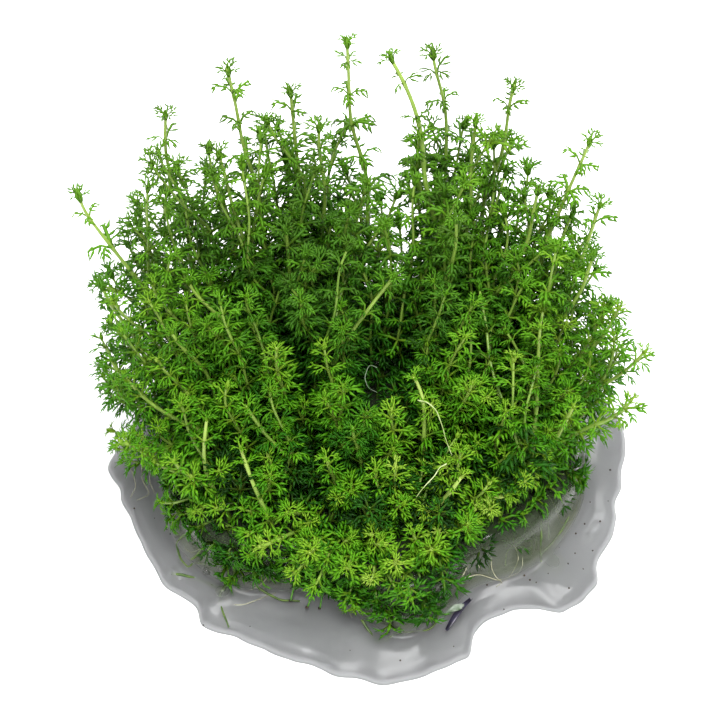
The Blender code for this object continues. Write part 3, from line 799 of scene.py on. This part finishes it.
# foot, end and tone of each short sprig, listed with the planned shoot whose foot is nearest
def lowSprigs(plans):
    kit = sprigSet
    rng = random.Random(crown["seed"] + 1)
    step = kit["spacing"] * mm
    made = []
    cells = range(-kit["reach"], kit["reach"] + 1)
    for row in cells:
        for column in cells:
            x = (column + 0.5 * (row % 2) + jitter(rng, kit["jitter"])) * step
            y = (row * crown["rowStep"] + jitter(rng, kit["jitter"])) * step
            foot = Vector((x, y, gelShape["top"] * mm))
            if foot.xy.length < footLimit(angleOf(foot)) - kit["fromEdge"] * mm:
                height = rng.uniform(*kit["heights"]) * mm
                made.append((foot, foot + leaning(rng, kit["lean"], height), kit["tone"]))
    for angle in range(*kit["sunkAngles"]):
        angle += jitter(rng, kit["sunkTurn"])
        radius = outlineRadius(gelShape["block"], angle) - rng.uniform(*kit["sunkDepths"]) * mm
        foot = polar(radius, angle, 0)
        foot.z = rng.uniform(*kit["sunkHeights"]) * mm
        made.append((foot, foot + leaning(rng, kit["sunkLean"], kit["sunkLength"] * mm), kit["sunkTone"]))
    for start, stop, between, heights, places, tones in kit["hanging"]:
        for angle in range(start, stop, between):
            angle += jitter(rng, kit["hangTurn"])
            block = outlineRadius(gelShape["block"], angle)
            end = polar(block + rng.uniform(*places) * mm, angle + jitter(rng, kit["hangSpread"]), 0)
            end.z = rng.uniform(*heights) * mm
            foot = polar(block - kit["hangFrom"] * mm, angle, gelShape["top"] * mm)
            made.append((foot, end, rng.uniform(*tones)))
    sprigs = [[] for _ in plans]
    for foot, end, tone in made:
        near = [(start.xy - foot.xy).length for start, _, _ in plans]
        sprigs[near.index(min(near))].append((foot, end, tone))
    return sprigs


# shares of the stem's length, except the waves' scales; stems lean outwards and straighten up at their tips
stemHabit = dict(rise=0.38, upright=0.6, underTip=0.33, steps=60, stiffEnds=0.7, waveScale=70, ownWaves=900)


# stem from foot to tip: up out of the gel, over in a bow, with slight waves where it isn't held
def stemCurve(foot, tip, bow, waves=0.0, steps=stemHabit["steps"]):
    habit = stemHabit
    length = (tip - foot).length
    rise = foot + Vector((0, 0, habit["rise"] * length)) + bow
    lean = ((tip - foot).normalized() + Vector((0, 0, habit["upright"]))).normalized()
    belowTip = tip - lean * habit["underTip"] * length + bow
    path = bezier(foot, rise, belowTip, tip, steps)
    for step, point in enumerate(path):
        free = math.sin(math.pi * step / steps) ** habit["stiffEnds"]
        wave = noise.noise_vector(point * habit["waveScale"] + foot * habit["ownWaves"])
        path[step] = point + Vector((wave.x, wave.y, 0)) * waves * free
    return path


def bezier(a, b, c, d, steps):
    points = []
    for step in range(steps + 1):
        t = step / steps
        s = 1 - t
        points.append(s**3 * a + 3 * s * s * t * b + 3 * s * t * t * c + t**3 * d)
    return points


def curveLength(points):
    return sum((b - a).length for a, b in zip(points, points[1:]))


# point and direction at a distance along a path
def along(points, distance):
    for a, b in zip(points, points[1:]):
        step = (b - a).length
        if distance <= step or b is points[-1]:
            way = (b - a).normalized()
            return a + way * distance, way
        distance -= step


# how the shoots are clothed: lengths in mm, lifts in degrees above square to the stem; "closer" is how much
# the gaps shrink down the stem, "tuft" adds leaves to the top whorl, "slim" is the share of slim leaves
# among those that aren't broad, and "young" is the size of the youngest leaves
tallShoot = dict(footThick=0.40, tipThick=0.24, firstGap=1.0, gap=5.4, gapGrowth=1.5, closer=0.35,
                 leaf=4.1, leaves=(3, 4, 4), tuft=2, slim=0.25, young=0.52, sizeGrowth=1.7, larger=0.25,
                 tipLift=56, lift=12, lowLift=-6, youngTone=-0.10, bud=2.25, budTone=-0.08)
frontShoot = dict(footThick=0.36, tipThick=0.23, firstGap=0.7, gap=3.0, gapGrowth=1.1, closer=-0.3,
                  leaf=3.8, leaves=(4, 5, 5), tuft=0, slim=0.85, young=0.40, sizeGrowth=1.1, larger=0.25,
                  tipLift=54, lift=14, lowLift=-4, youngTone=0.18, bud=1.4, budTone=0.25)
lowShoot = dict(frontShoot, leaf=4.2, young=0.8, tipLift=30)
stemRings = dict(spacing=1.3 * mm, fewest=6, joint=0.28, jointLength=0.5 * mm,
                 endLength=1.6 * mm, endThin=0.45, beforeEnd=0.000001)


# a guide mesh that the tree reads: stems as edges, whorls and buds as loose points
class Guide:
    def __init__(self):
        self.points, self.edges, self.ways = [], [], []
        self.values = {name: [] for name in
                       ("thick", "along", "tone", "leaves", "turn", "lift", "size", "firstShape", "shapes")}

    def add(self, point, way, **values):
        self.points.append(point)
        self.ways.append(way)
        for name, column in self.values.items():
            column.append(values.get(name, 0.0))
        return len(self.points) - 1

    # rings along a stem, which swells at its joints (the nodes) and thins out under its bud
    def stem(self, path, footThick, tipThick, tone, nodes, startAlong=0.0):
        rings = stemRings
        length = curveLength(path)
        count = max(rings["fewest"], int(length / rings["spacing"]))
        evenly = [length * place / count for place in range(count + 1)]
        before = None
        for stop in sorted({round(place, 6) for place in evenly + nodes}):
            point, way = along(path, min(stop, length - rings["beforeEnd"]))
            part = stop / length
            near = min((abs(stop - node) for node in nodes), default=length)
            swell = 1 + rings["joint"] * math.exp(-(near / rings["jointLength"]) ** 2)
            taper = min(1.0, (length - stop) / rings["endLength"])
            swell *= rings["endThin"] + (1 - rings["endThin"]) * taper
            thick = (footThick + (tipThick - footThick) * part) * swell * mm
            here = self.add(point, way, thick=thick, along=startAlong + (1 - startAlong) * part, tone=tone)
            if before is not None:
                self.edges.append((before, here))
            before = here

    def build(self, name):
        mesh = bpy.data.meshes.new(name)
        mesh.from_pydata(self.points, self.edges, [])
        for key, column in self.values.items():
            mesh.attributes.new(key, "FLOAT", "POINT").data.foreach_set("value", column)
        flat = [c for way in self.ways for c in way]
        mesh.attributes.new("way", "FLOAT_VECTOR", "POINT").data.foreach_set("vector", flat)
        guide = bpy.data.objects.new(name, mesh)
        bpy.context.scene.collection.objects.link(guide)
        return guide


# what all whorls share: turns in radians, the lift's jitter in degrees; whorls "aged" mm down are old
whorlHabit = dict(anyTurn=6.28, turn=math.pi / 4, turnJitter=0.3, liftJitter=6, aged=28, agedTone=-0.26,
                  toneJitter=0.08, sizes=(0.84, 1.12), gaps=(0.82, 1.18),
                  budSunk=0.55, budSizes=(0.85, 1.1))


# leaves in whorls down a stem, small and folded up near its bud; gives back where the whorls are
def addWhorls(guide, path, style, rng, tone, broad, low, most=math.inf, stretch=1.0):
    habit = whorlHabit
    length = curveLength(path)
    turn = rng.uniform(0, habit["anyTurn"])
    nodes = []
    fromTip = style["firstGap"] * mm
    while fromTip < length - low and len(nodes) < most:
        nodes.append(length - fromTip)
        point, way = along(path, length - fromTip)
        isOpen = 1 - math.exp(-fromTip / (style["gapGrowth"] * mm))
        grown = 1 - math.exp(-fromTip / (style["sizeGrowth"] * mm))
        age = min(1.0, fromTip / (habit["aged"] * mm))
        oldLift = style["lift"] + (style["lowLift"] - style["lift"]) * age
        lift = style["tipLift"] * (1 - isOpen) + isOpen * oldLift
        size = style["leaf"] * (style["young"] + (1 - style["young"]) * grown)
        size *= (1 + style["larger"] * age) * mm
        isTop = len(nodes) == 1
        kind = fineKind
        if isTop or rng.random() < broad:
            kind = broadKind
        elif rng.random() < style["slim"]:
            kind = slimKind
        turn += habit["turn"] + jitter(rng, habit["turnJitter"])
        count = rng.choice(style["leaves"]) + (style["tuft"] if isTop else 0)
        lift = math.radians(lift + jitter(rng, habit["liftJitter"]))
        size = size * rng.uniform(*habit["sizes"])
        aged = style["youngTone"] * (1 - grown) + habit["agedTone"] * age
        guide.add(point, way, leaves=count, turn=turn, lift=lift, size=size,
                  tone=tone + aged + jitter(rng, habit["toneJitter"]),
                  firstShape=kind * shapeCount, shapes=shapeCount)
        gap = style["firstGap"] + (style["gap"] * stretch - style["firstGap"]) * isOpen
        fromTip += gap * (1 - style["closer"] * age) * rng.uniform(*habit["gaps"]) * mm
    point, way = along(path, length - habit["budSunk"] * style["bud"] * mm)
    guide.add(point, way, leaves=1, turn=turn, size=style["bud"] * rng.uniform(*habit["budSizes"]) * mm,
              tone=tone + style["budTone"],
              firstShape=len(leafKinds) * shapeCount, shapes=budKind["count"])
    return nodes


# what a tip's place decides; "forward" is 0 at the back and 1 in front
placeLook = dict(depth=64, tone=0.51, frontTone=0.09, rightPaintedLight=0.04, right=40, toneJitter=0.12,
                 broadFrom=0.42, broadSpan=0.30, frontFrom=0.40, frontJitter=0.05, frontHeight=45)


# how a shoot looks by where its tip is: those in front are brighter, broad-leaved and closely jointed
def shootLook(tip, rng):
    look = placeLook
    forward = min(1.0, max(0.0, 0.5 - tip.y / (look["depth"] * mm)))
    right = max(0.0, tip.x / (look["right"] * mm))
    # painted light: tips towards the right get a lighter tone, as if more light fell on that side
    tone = look["tone"] + look["frontTone"] * forward + look["rightPaintedLight"] * right
    tone += jitter(rng, look["toneJitter"])
    # painted shade and light: the listed patches darken the shoots in the hollows and lighten those on the
    # tufts
    for x, y, radius, change in crown["patches"]:
        tone += change * math.exp(-((tip.xy - Vector((x, y)) * mm).length / (radius * mm)) ** 2)
    broad = min(1.0, max(0.0, (forward - look["broadFrom"]) / look["broadSpan"]))
    isFront = forward + jitter(rng, look["frontJitter"]) > look["frontFrom"]
    isLow = tip.z < look["frontHeight"] * mm
    return tone, broad, frontShoot if isFront and isLow else tallShoot


# a stem group: its planned shoot, then the fine shoots and sprigs that are joined to it; lengths in mm
groupSet = dict(
    seed=1000, bareFoot=1.5, waves=1.7, longStretch=2.3, tallStretch=1.4, longTone=0.8, tallTone=0.95,
    frontTone=0.7, branching=0.35, branchFrom=(0.16, 0.40), footIn=0.82, bow=0.11, fineWaves=2.4,
    fineWhorls=10, fineFoot=0.62, fineTip=0.8, fineTone=0.6, fineStart=0.2,
    sprigSunk=0.5, sprigBare=0.5, sprigSteps=8, sprigTones=(-0.06, 0.10), sprigWhorls=3,
    sprigFoot=0.22, sprigTip=0.16, sprigTone=0.4,
)


def addMainShoot(guide, rng, number, plan, depth):
    kit = groupSet
    foot, tip, bow = plan
    tone, broad, style = shootLook(tip, rng)
    path = [foot - depth] + stemCurve(foot, tip, bow, kit["waves"] * mm)
    stretch, stemTone = 1.0, tone * kit["frontTone"]
    if number in plant["longJointed"]:
        stretch, stemTone = kit["longStretch"], kit["longTone"]
    elif number <= len(plant["tall"]):
        stretch, stemTone = kit["tallStretch"], tone * kit["tallTone"]
    low = (plant["footDepth"] + kit["bareFoot"]) * mm
    nodes = addWhorls(guide, path, style, rng, tone, broad, low, stretch=stretch)
    thicker = plant["thickness"].get(number, plant["usualThickness"])
    guide.stem(path, style["footThick"] * thicker, style["tipThick"] * (1 + thicker) / 2, stemTone, nodes)
    return path


# some fine shoots branch off the main stem and the others stand in the gel
def addFineShoot(guide, rng, spot, mainPath, depth):
    kit = groupSet
    tone, broad, style = shootLook(spot, rng)
    isBranch = rng.random() < kit["branching"]
    if isBranch:
        base, way = along(mainPath, rng.uniform(*kit["branchFrom"]) * curveLength(mainPath))
    else:
        reach = min(spot.xy.length * kit["footIn"], footLimit(angleOf(spot)))
        base = polar(reach, angleOf(spot), gelShape["top"] * mm)
    swing = rng.uniform(0, whorlHabit["anyTurn"])
    sway = Vector((math.cos(swing), math.sin(swing), 0)) * kit["bow"] * (spot - base).length
    path = stemCurve(base, spot, sway, kit["fineWaves"] * mm)
    low = kit["bareFoot"] * mm
    if not isBranch:
        path = [base - depth] + path
        low += depth.z
    nodes = addWhorls(guide, path, style, rng, tone, broad, low, kit["fineWhorls"])
    guide.stem(path, style["footThick"] * kit["fineFoot"], style["tipThick"] * kit["fineTip"],
               tone * kit["fineTone"], nodes, kit["fineStart"])


def addSprig(guide, rng, base, end, tone, depth):
    kit = groupSet
    path = [base - depth * kit["sprigSunk"]] + stemCurve(base, end, Vector(), 0.0, kit["sprigSteps"])
    tone += rng.uniform(*kit["sprigTones"])
    low = depth.z * kit["sprigSunk"] + kit["sprigBare"] * mm
    nodes = addWhorls(guide, path, lowShoot, rng, tone, 1.0, low, kit["sprigWhorls"])
    guide.stem(path, kit["sprigFoot"], kit["sprigTip"], tone * kit["sprigTone"], nodes)


def growShoot(number, plan, spots, sprigs, tree, shapes, stemSkin, leafSkin):
    rng = random.Random(groupSet["seed"] + number)
    guide = Guide()
    depth = Vector((0, 0, plant["footDepth"] * mm))
    mainPath = addMainShoot(guide, rng, number, plan, depth)
    for spot in spots:
        addFineShoot(guide, rng, spot, mainPath, depth)
    for base, end, tone in sprigs:
        addSprig(guide, rng, base, end, tone, depth)
    name = "leafyShoot%02d" % number
    piece = clothe(guide.build(name + "Guide"), tree, shapes, stemSkin, leafSkin, name)
    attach(piece, "root")
    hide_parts("shoot_%02d" % number)
    return piece


# heights of the gel pad along a line from its rim to its middle, as (radius, height) pairs
def gelColumn(angle):
    shape = gelShape
    rim, block = outlineRadius(shape["rim"], angle), outlineRadius(shape["block"], angle)
    rim += noise.noise(polar(rim, angle, 0) * shape["scallopScale"]) * shape["scallop"] * mm
    fold = shape["fold"] * math.sin(math.radians(shape["folds"] * angle))
    low = shape["skirtTop"]
    outer = rim - shape["skirtFrom"] * mm
    column = [(rim - inward * mm, height) for inward, height in shape["lip"]]
    column.append((outer, low - shape["lipDrop"]))
    for step in range(1, shape["skirtSteps"]):
        part = step / shape["skirtSteps"]
        rise = shape["skirtRise"] * part * part - shape["lipSag"] * (1 - part) ** 4
        column.append((outer * (1 - part) + block * part, low + rise + fold * (1 - abs(2 * part - 1))))
    column += [(block - inward * mm, height) for inward, height in shape["wall"]]
    column.append((block - shape["shoulderIn"] * mm, shape["top"]))
    column += [(block * part, shape["top"]) for part in shape["topPlaces"]]
    return [(radius, height * mm) for radius, height in column]


def bumpHeight(x, y):
    total = 0.0
    for bumpX, bumpY, height, width in gelShape["bumps"]:
        away = ((x / mm - bumpX) ** 2 + (y / mm - bumpY) ** 2) / (width * width)
        total += height * math.exp(-away)
    return total * mm


# height of the gel's upper surface at a place
def gelTop(x, y):
    column = gelColumn(angleOf(Vector((x, y, 0))))
    radius = math.hypot(x, y)
    for (outer, low), (inner, high) in zip(column, column[1:]):
        if inner <= radius <= outer:
            part = (outer - radius) / (outer - inner)
            return low + (high - low) * part + bumpHeight(x, y)
    return gelShape["top"] * mm


# ripples and bumps on the skirt, crinkles in the wall and slight waves on the top
def roughen(point, angle, place):
    shape = gelShape
    skirtStart = len(shape["lip"])
    wallStart = skirtStart + shape["skirtSteps"]
    topStart = wallStart + len(shape["wall"])
    rough = noise.noise(point * shape["roughScale"])
    fine = noise.noise(point * shape["fineScale"] + Vector(shape["fineShift"]))
    if place >= topStart:
        point.z += (rough * shape["topWaves"] - shape["topDip"]) * mm
    elif place > wallStart:
        swell = rough * shape["roughCrinkle"] + fine * shape["fineCrinkle"]
        point += polar(1.0, angle, 0) * swell * shape["crinkle"] * mm
    elif place >= skirtStart:
        ripple = (rough * shape["ripple"] + fine * shape["fineRipple"]) * mm
        point.z += ripple + bumpHeight(point.x, point.y)


# gel pad: a block in the cup's shape with a lobed skirt, lofted over the outline and softly uneven
def makeGel(look):
    bm = bmesh.new()
    rings = []
    for rib in range(gelShape["ribs"]):
        angle = 360 * rib / gelShape["ribs"]
        column = gelColumn(angle)
        rim = column[0][0]
        points = [polar(rim - inward * mm, angle, height * mm) for inward, height in gelShape["under"]]
        for place, (radius, height) in enumerate(column):
            point = polar(radius, angle, height)
            roughen(point, angle, place)
            points.append(point)
        rings.append([bm.verts.new(point) for point in points])
    low, high = bm.verts.new((0, 0, 0)), bm.verts.new((0, 0, gelShape["top"] * mm))
    for rib, here in enumerate(rings):
        beside = rings[(rib + 1) % len(rings)]
        for place in range(len(here) - 1):
            bm.faces.new((here[place], beside[place], beside[place + 1], here[place + 1]))
        bm.faces.new((low, beside[0], here[0]))
        bm.faces.new((high, here[-1], beside[-1]))
    for face in bm.faces:
        face.smooth = True
    gel = addPiece("gelJelly", bm)
    gel.data.materials.append(look)
    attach(gel, "root")
    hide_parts("gel_pad")


# a smooth path through a few points
def smoothPath(points, perStep=6):
    path = []
    ends = [points[0] * 2 - points[1]] + points + [points[-1] * 2 - points[-2]]
    for a, b, c, d in zip(ends, ends[1:], ends[2:], ends[3:]):
        for step in range(perStep):
            t = step / perStep
            path.append(0.5 * (2 * b + (c - a) * t + (2 * a - 5 * b + 4 * c - d) * t * t
                               + (3 * b - a - 3 * c + d) * t**3))
    return path + [points[-1]]


# a closed tube along a path, tapering to its ends
def addTube(bm, path, thick, endThick, sides=7):
    rings = []
    side = Vector((0, 0, 1)).cross(path[1] - path[0])
    side = side.normalized() if side.length > 1e-9 else Vector((1, 0, 0))
    for place, point in enumerate(path):
        way = (path[min(place + 1, len(path) - 1)] - path[max(place - 1, 0)]).normalized()
        side = (side - way * side.dot(way)).normalized()
        other = way.cross(side)
        radius = thick + (endThick - thick) * place / (len(path) - 1)
        corners = [(side * math.cos(a) + other * math.sin(a)) * radius
                   for a in (2 * math.pi * k / sides for k in range(sides))]
        rings.append([bm.verts.new(point + corner) for corner in corners])
    for low, high in zip(rings, rings[1:]):
        for k in range(sides):
            bm.faces.new((low[k], low[(k + 1) % sides], high[(k + 1) % sides], high[k]))
    bm.faces.new(reversed(rings[0]))
    bm.faces.new(rings[-1])


# runners, roots, a strand of jelly drawn out between two shoots, its pale grey a painted glint, and cut
# leaf ends: points in mm
trailing = dict(
    runners=dict(thick=0.24, end=0.15, colour=("#3c5423", "#5d7233"), lines=[
        [(-29.0, -13.5, 12.3), (-30.1, -16.6, 8.4), (-32.3, -15.4, 3.2), (-32.2, -17.3, 2.4),
         (-30.7, -19.8, 2.2), (-29.4, -19.6, 2.9), (-26.8, -21.0, 4.6)],
        [(-33.2, -21.0, 1.9), (-29.7, -21.9, 2.2), (-26.9, -23.4, 2.3), (-24.9, -24.5, 2.6),
         (-23.1, -23.7, 3.4), (-20.0, -23.6, 6.4), (-18.4, -22.6, 9.5)],
        [(-22.4, -21.0, 11.6), (-22.7, -23.0, 8.0), (-23.0, -23.6, 4.4), (-24.9, -25.2, 2.6),
         (-25.0, -27.2, 2.0), (-23.6, -31.6, 1.9)],
        [(-2.2, -31.2, 3.4), (-0.9, -33.1, 2.5), (0.7, -34.8, 2.3), (3.3, -33.5, 2.8),
         (5.7, -33.1, 2.9), (8.9, -32.2, 2.6), (10.2, -30.1, 4.4), (10.4, -28.6, 7.5)],
        [(-30.3, -18.8, 2.4), (-28.5, -19.6, 5.9), (-27.2, -19.6, 9.4), (-25.3, -18.2, 11.4)],
        [(31.7, -11.6, 4.8), (30.2, -14.4, 4.3), (28.4, -16.8, 4.0), (27.0, -18.4, 3.4),
         (27.0, -19.5, 2.3), (25.7, -21.6, 2.2)],
        [(26.4, -15.8, 10.5), (26.9, -17.5, 7.8), (26.8, -18.1, 4.5), (27.0, -19.5, 2.4)],
        [(-20.3, -24.3, 3.9), (-17.9, -25.2, 2.8), (-15.4, -26.6, 2.5), (-12.2, -27.2, 2.8)]]),
    roots=dict(thick=0.09, end=0.05, colour=("#8b8a6d", "#adab90"), lines=[
        [(-23.6, -25.0, 2.4), (-20.6, -24.9, 2.6), (-18.0, -24.5, 4.6), (-16.8, -23.8, 7.5)],
        [(-24.4, -26.0, 2.2), (-23.2, -27.2, 2.0), (-21.0, -27.3, 2.1), (-18.6, -26.3, 2.4),
         (-16.0, -25.3, 2.6)],
        [(13.9, -25.6, 7.6), (15.2, -23.6, 8.5), (16.1, -23.3, 8.5), (17.0, -23.4, 6.2)],
        [(14.4, -25.3, 6.6), (16.9, -23.6, 5.1), (20.2, -23.0, 2.9), (23.5, -21.2, 3.2),
         (23.9, -20.3, 5.8)],
        [(18.6, -22.3, 8.2), (19.0, -22.9, 5.0), (20.6, -23.4, 2.3)],
        [(22.3, -20.4, 9.2), (23.1, -20.9, 5.5), (21.5, -22.5, 2.7), (19.6, -24.0, 2.3)],
        [(29.0, -8.1, 11.5), (30.9, -10.3, 10.4), (32.3, -10.3, 6.2), (31.3, -12.3, 5.1)],
        [(30.0, -7.1, 11.5), (32.4, -8.4, 8.4), (33.1, -8.8, 4.3), (31.7, -12.3, 3.8),
         (29.5, -15.4, 4.3)],
        [(31.0, -4.0, 11.0), (33.6, -5.5, 6.0), (33.4, -8.5, 3.2), (30.6, -14.2, 3.0)],
        [(28.0, -12.2, 11.0), (29.6, -13.4, 7.5), (30.4, -12.6, 4.5), (32.4, -10.8, 3.2)],
        [(-31.1, -17.0, 3.6), (-29.9, -18.4, 4.2), (-27.9, -19.7, 7.5)],
        [(-41.6, 4.0, 1.9), (-41.0, 0.7, 2.3), (-39.9, -3.0, 2.0), (-40.7, -5.3, 1.6)],
        [(-39.0, 3.7, 2.3), (-38.9, -1.5, 2.2), (-37.6, -4.9, 2.3), (-39.6, -6.0, 1.9)],
        [(-36.8, 1.5, 2.7), (-37.6, -2.0, 2.3), (-36.6, -5.0, 2.5)],
        [(-6.0, -26.6, 5.6), (-4.8, -28.4, 3.7), (-3.8, -30.2, 2.7)],
        [(-24.6, -20.7, 10.6), (-25.3, -21.7, 6.8), (-24.4, -22.5, 4.8), (-26.2, -22.5, 2.5)]]),
    airRoots=dict(thick=0.11, end=0.06, colour=("#7f9350", "#b4c08a"), lines=[
        [(6.6, -9.4, 32.4), (8.0, -10.3, 32.9), (9.1, -11.1, 32.6), (9.9, -11.9, 31.4),
         (10.6, -13.1, 29.6), (11.1, -14.2, 28.0), (12.0, -15.6, 26.3)],
        [(11.2, -16.8, 25.6), (10.1, -17.6, 25.5), (9.2, -18.8, 25.0), (8.0, -20.0, 24.5),
         (6.4, -21.6, 23.2)]]),
    # painted glint: the strand's pale grey stands in for the sheen along its glassy curve
    jellyStrands=dict(thick=0.07, end=0.03, colour=("#5c6d55", "#8d9a87"), lines=[
        [(0.2, 0.6, 28.4), (-0.9, 1.5, 27.8), (-1.6, 0.1, 27.4), (-1.6, -1.3, 27.2),
         (-0.9, -3.0, 27.4), (0.2, -4.4, 28.2)]]),
    cutEnds=dict(thick=0.17, end=0.14, colour=("#35701a", "#5a9428"), lines=[
        [(-27.6, -16.6, 11.9), (-29.0, -17.9, 9.6), (-29.6, -17.9, 7.8)],
        [(-27.0, -17.6, 12.2), (-27.1, -18.9, 11.4)],
        [(-25.8, -18.8, 11.9), (-27.4, -19.9, 9.7)],
        [(-9.8, -26.0, 4.4), (-10.6, -27.6, 3.2), (-11.0, -28.4, 2.9)],
        [(-8.3, -26.2, 4.4), (-9.0, -28.6, 2.9)],
        [(-0.3, -29.5, 9.6), (-0.3, -31.2, 6.6), (-0.3, -31.4, 5.2)],
        [(1.9, -29.6, 11.3), (2.0, -31.6, 8.6)],
        [(-13.0, -25.0, 4.6), (-13.7, -27.1, 2.9)]]),
)


trailHabit = dict(shift=100, waveScale=600, waves=0.12, roughness=0.35)


def addTrim(name, bm, material):
    bmesh.ops.recalc_face_normals(bm, faces=bm.faces)
    for face in bm.faces:
        face.smooth = True
    piece = addPiece(name, bm)
    piece.data.materials.append(material)
    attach(piece, "root")


def makeTrailing():
    habit = trailHabit
    for name, kind in trailing.items():
        rng = random.Random(name)
        bm = bmesh.new()
        for line in kind["lines"]:
            path = smoothPath([Vector(point) * mm for point in line])
            shift = Vector((rng.uniform(0, habit["shift"]), 0, 0))
            path = [point + noise.noise_vector(point * habit["waveScale"] + shift) * habit["waves"] * mm
                    for point in path]
            addTube(bm, path, kind["thick"] * mm, kind["end"] * mm)
        skin = plainMaterial(name + "Skin", *kind["colour"], habit["roughness"])
        addTrim(name, bm, skin)


# dirt specks on the skirt, black ends of the cut leaves and one air bubble
smallThings = dict(
    specks=[(35.3, -3.3), (35.7, -6.4), (34.6, -10.9), (33.0, -13.1), (30.1, -16.3), (32.7, -17.0),
            (28.1, -21.6), (25.1, -22.7), (24.2, -21.9), (23.5, -24.0), (18.1, -23.8), (31.4, -19.5),
            (31.4, -24.2), (39.4, 0.4), (37.2, -10.1), (-27.8, -30.1), (-30.9, -16.0), (-40.0, -7.2),
            (-34.3, -12.3), (-33.7, -13.4), (26.1, -23.2), (35.7, -15.8), (3.9, -38.0), (-4.1, -36.1),
            (-20.2, -31.1), (38.8, -5.5), (33.9, -19.9), (20.8, -27.2), (-36.5, -9.5), (12.5, -35.0)],
    seed=8, speckSize=(0.08, 0.20), speckLift=0.3, grainWidths=(0.8, 1.3), grainHeight=0.7, endSize=0.30,
    speckColours=("#1d1712", "#4a3a2a"), speckRoughness=0.6,
    bubble=(-27.4, -21.6, 3.4), bubbleSize=0.70, bubbleSegments=24, bubbleRings=14,
    bubbleColour="#ffffff", bubbleRoughness=0.02, bubbleIor=1.34,
)


def addGrain(bm, place, size, rng):
    widths, height = smallThings["grainWidths"], smallThings["grainHeight"]
    for vert in bmesh.ops.create_icosphere(bm, subdivisions=1, radius=1.0)["verts"]:
        x, y, z = vert.co
        vert.co = Vector((x * rng.uniform(*widths), y * rng.uniform(*widths), z * height))
        vert.co = vert.co * size + place


def makeSpecks():
    rng = random.Random(smallThings["seed"])
    bm = bmesh.new()
    for x, y in smallThings["specks"]:
        size = rng.uniform(*smallThings["speckSize"]) * mm
        height = gelTop(x * mm, y * mm) + size * smallThings["speckLift"]
        addGrain(bm, Vector((x * mm, y * mm, height)), size, rng)
    for line in trailing["cutEnds"]["lines"]:
        addGrain(bm, Vector(line[-1]) * mm, smallThings["endSize"] * mm, rng)
    dirt = plainMaterial("darkDirt", *smallThings["speckColours"], smallThings["speckRoughness"])
    addTrim("darkSpecks", bm, dirt)


def makeBubble():
    kit = smallThings
    bm = bmesh.new()
    bmesh.ops.create_uvsphere(bm, u_segments=kit["bubbleSegments"], v_segments=kit["bubbleRings"],
                              radius=kit["bubbleSize"] * mm)
    bmesh.ops.translate(bm, verts=bm.verts, vec=Vector(kit["bubble"]) * mm)
    colour = kit["bubbleColour"]
    air = plainMaterial("trappedAir", colour, colour, kit["bubbleRoughness"], kit["bubbleIor"], clear=1.0)
    addTrim("airBubble", bm, air)


# the dark scrap of leaf on the skirt, in two parts
flakes = [
    dict(line=[(11.4, -32.8, 2.9), (12.6, -31.0, 3.6), (13.9, -29.1, 3.9), (15.4, -27.3, 3.8)],
         lean=(0.80, -0.45, 0.30), colour=("#1d1926", "#403c50")),
    dict(line=[(11.0, -30.6, 3.8), (12.2, -29.8, 4.4), (13.4, -29.4, 4.3), (14.2, -28.8, 3.8)],
         lean=(0.2, 0.8, 0.5), colour=("#42563a", "#a3ad9f")),
]
flakeHabit = dict(width=1.15, steps=4, thick=0.09, ends=0.3, fromEnd=0.1, curl=2.5, curls=5, hang=3,
                  roughness=0.3)


# a thin strip along a line, widest in its middle and curled across
def makeFlake(number, flake):
    habit = flakeHabit
    bm = bmesh.new()
    path = smoothPath([Vector(point) * mm for point in flake["line"]], habit["steps"])
    lift = Vector((0, 0, habit["thick"] * mm))
    edge = Vector(flake["lean"]).normalized() * habit["width"] * mm / 2
    rows = []
    for place, point in enumerate(path):
        part = place / (len(path) - 1)
        bulge = math.sin(math.pi * (habit["fromEnd"] + (1 - 2 * habit["fromEnd"]) * part))
        across = edge * (habit["ends"] + (1 - habit["ends"]) * bulge)
        curl = lift * (habit["curl"] * math.sin(habit["curls"] * part) - habit["hang"])
        corners = (across + lift, curl + lift, -across + lift, -across - lift, curl - lift, across - lift)
        rows.append([bm.verts.new(point + corner) for corner in corners])
    for low, high in zip(rows, rows[1:]):
        for k in range(len(low)):
            other = (k + 1) % len(low)
            bm.faces.new((low[k], low[other], high[other], high[k]))
    bm.faces.new(reversed(rows[0]))
    bm.faces.new(rows[-1])
    skin = plainMaterial("flakeSkin%d" % number, *flake["colour"], habit["roughness"])
    addTrim("leafFlake%d" % number, bm, skin)


placeCamera()
placeLights()
makeFloor()
print("stage: camera and lights placed")
makeGel(gelMaterial())
makeTrailing()
makeSpecks()
makeBubble()
for number, flake in enumerate(flakes):
    makeFlake(number, flake)
print("stage: gel pad made, with what shows in it")
shootTree = buildShootTree()
shapes = leafShapes()
stemSkin, leafSkin = stemMaterial(), leafMaterial()
plans = plantingPlan()
spots, sprigs = crownSpots(plans), lowSprigs(plans)
pieces = [growShoot(number, *group, shootTree, shapes, stemSkin, leafSkin)
          for number, group in enumerate(zip(plans, spots, sprigs), 1)]
for shape in list(shapes.objects):
    bpy.data.objects.remove(shape, do_unlink=True)
tips = len(plans) + sum(len(group) for group in spots)
triangles = sum(len(face.vertices) - 2 for piece in pieces for face in piece.data.polygons)
print("stage: shoots grown, %d tips, %d triangles" % (tips, triangles))
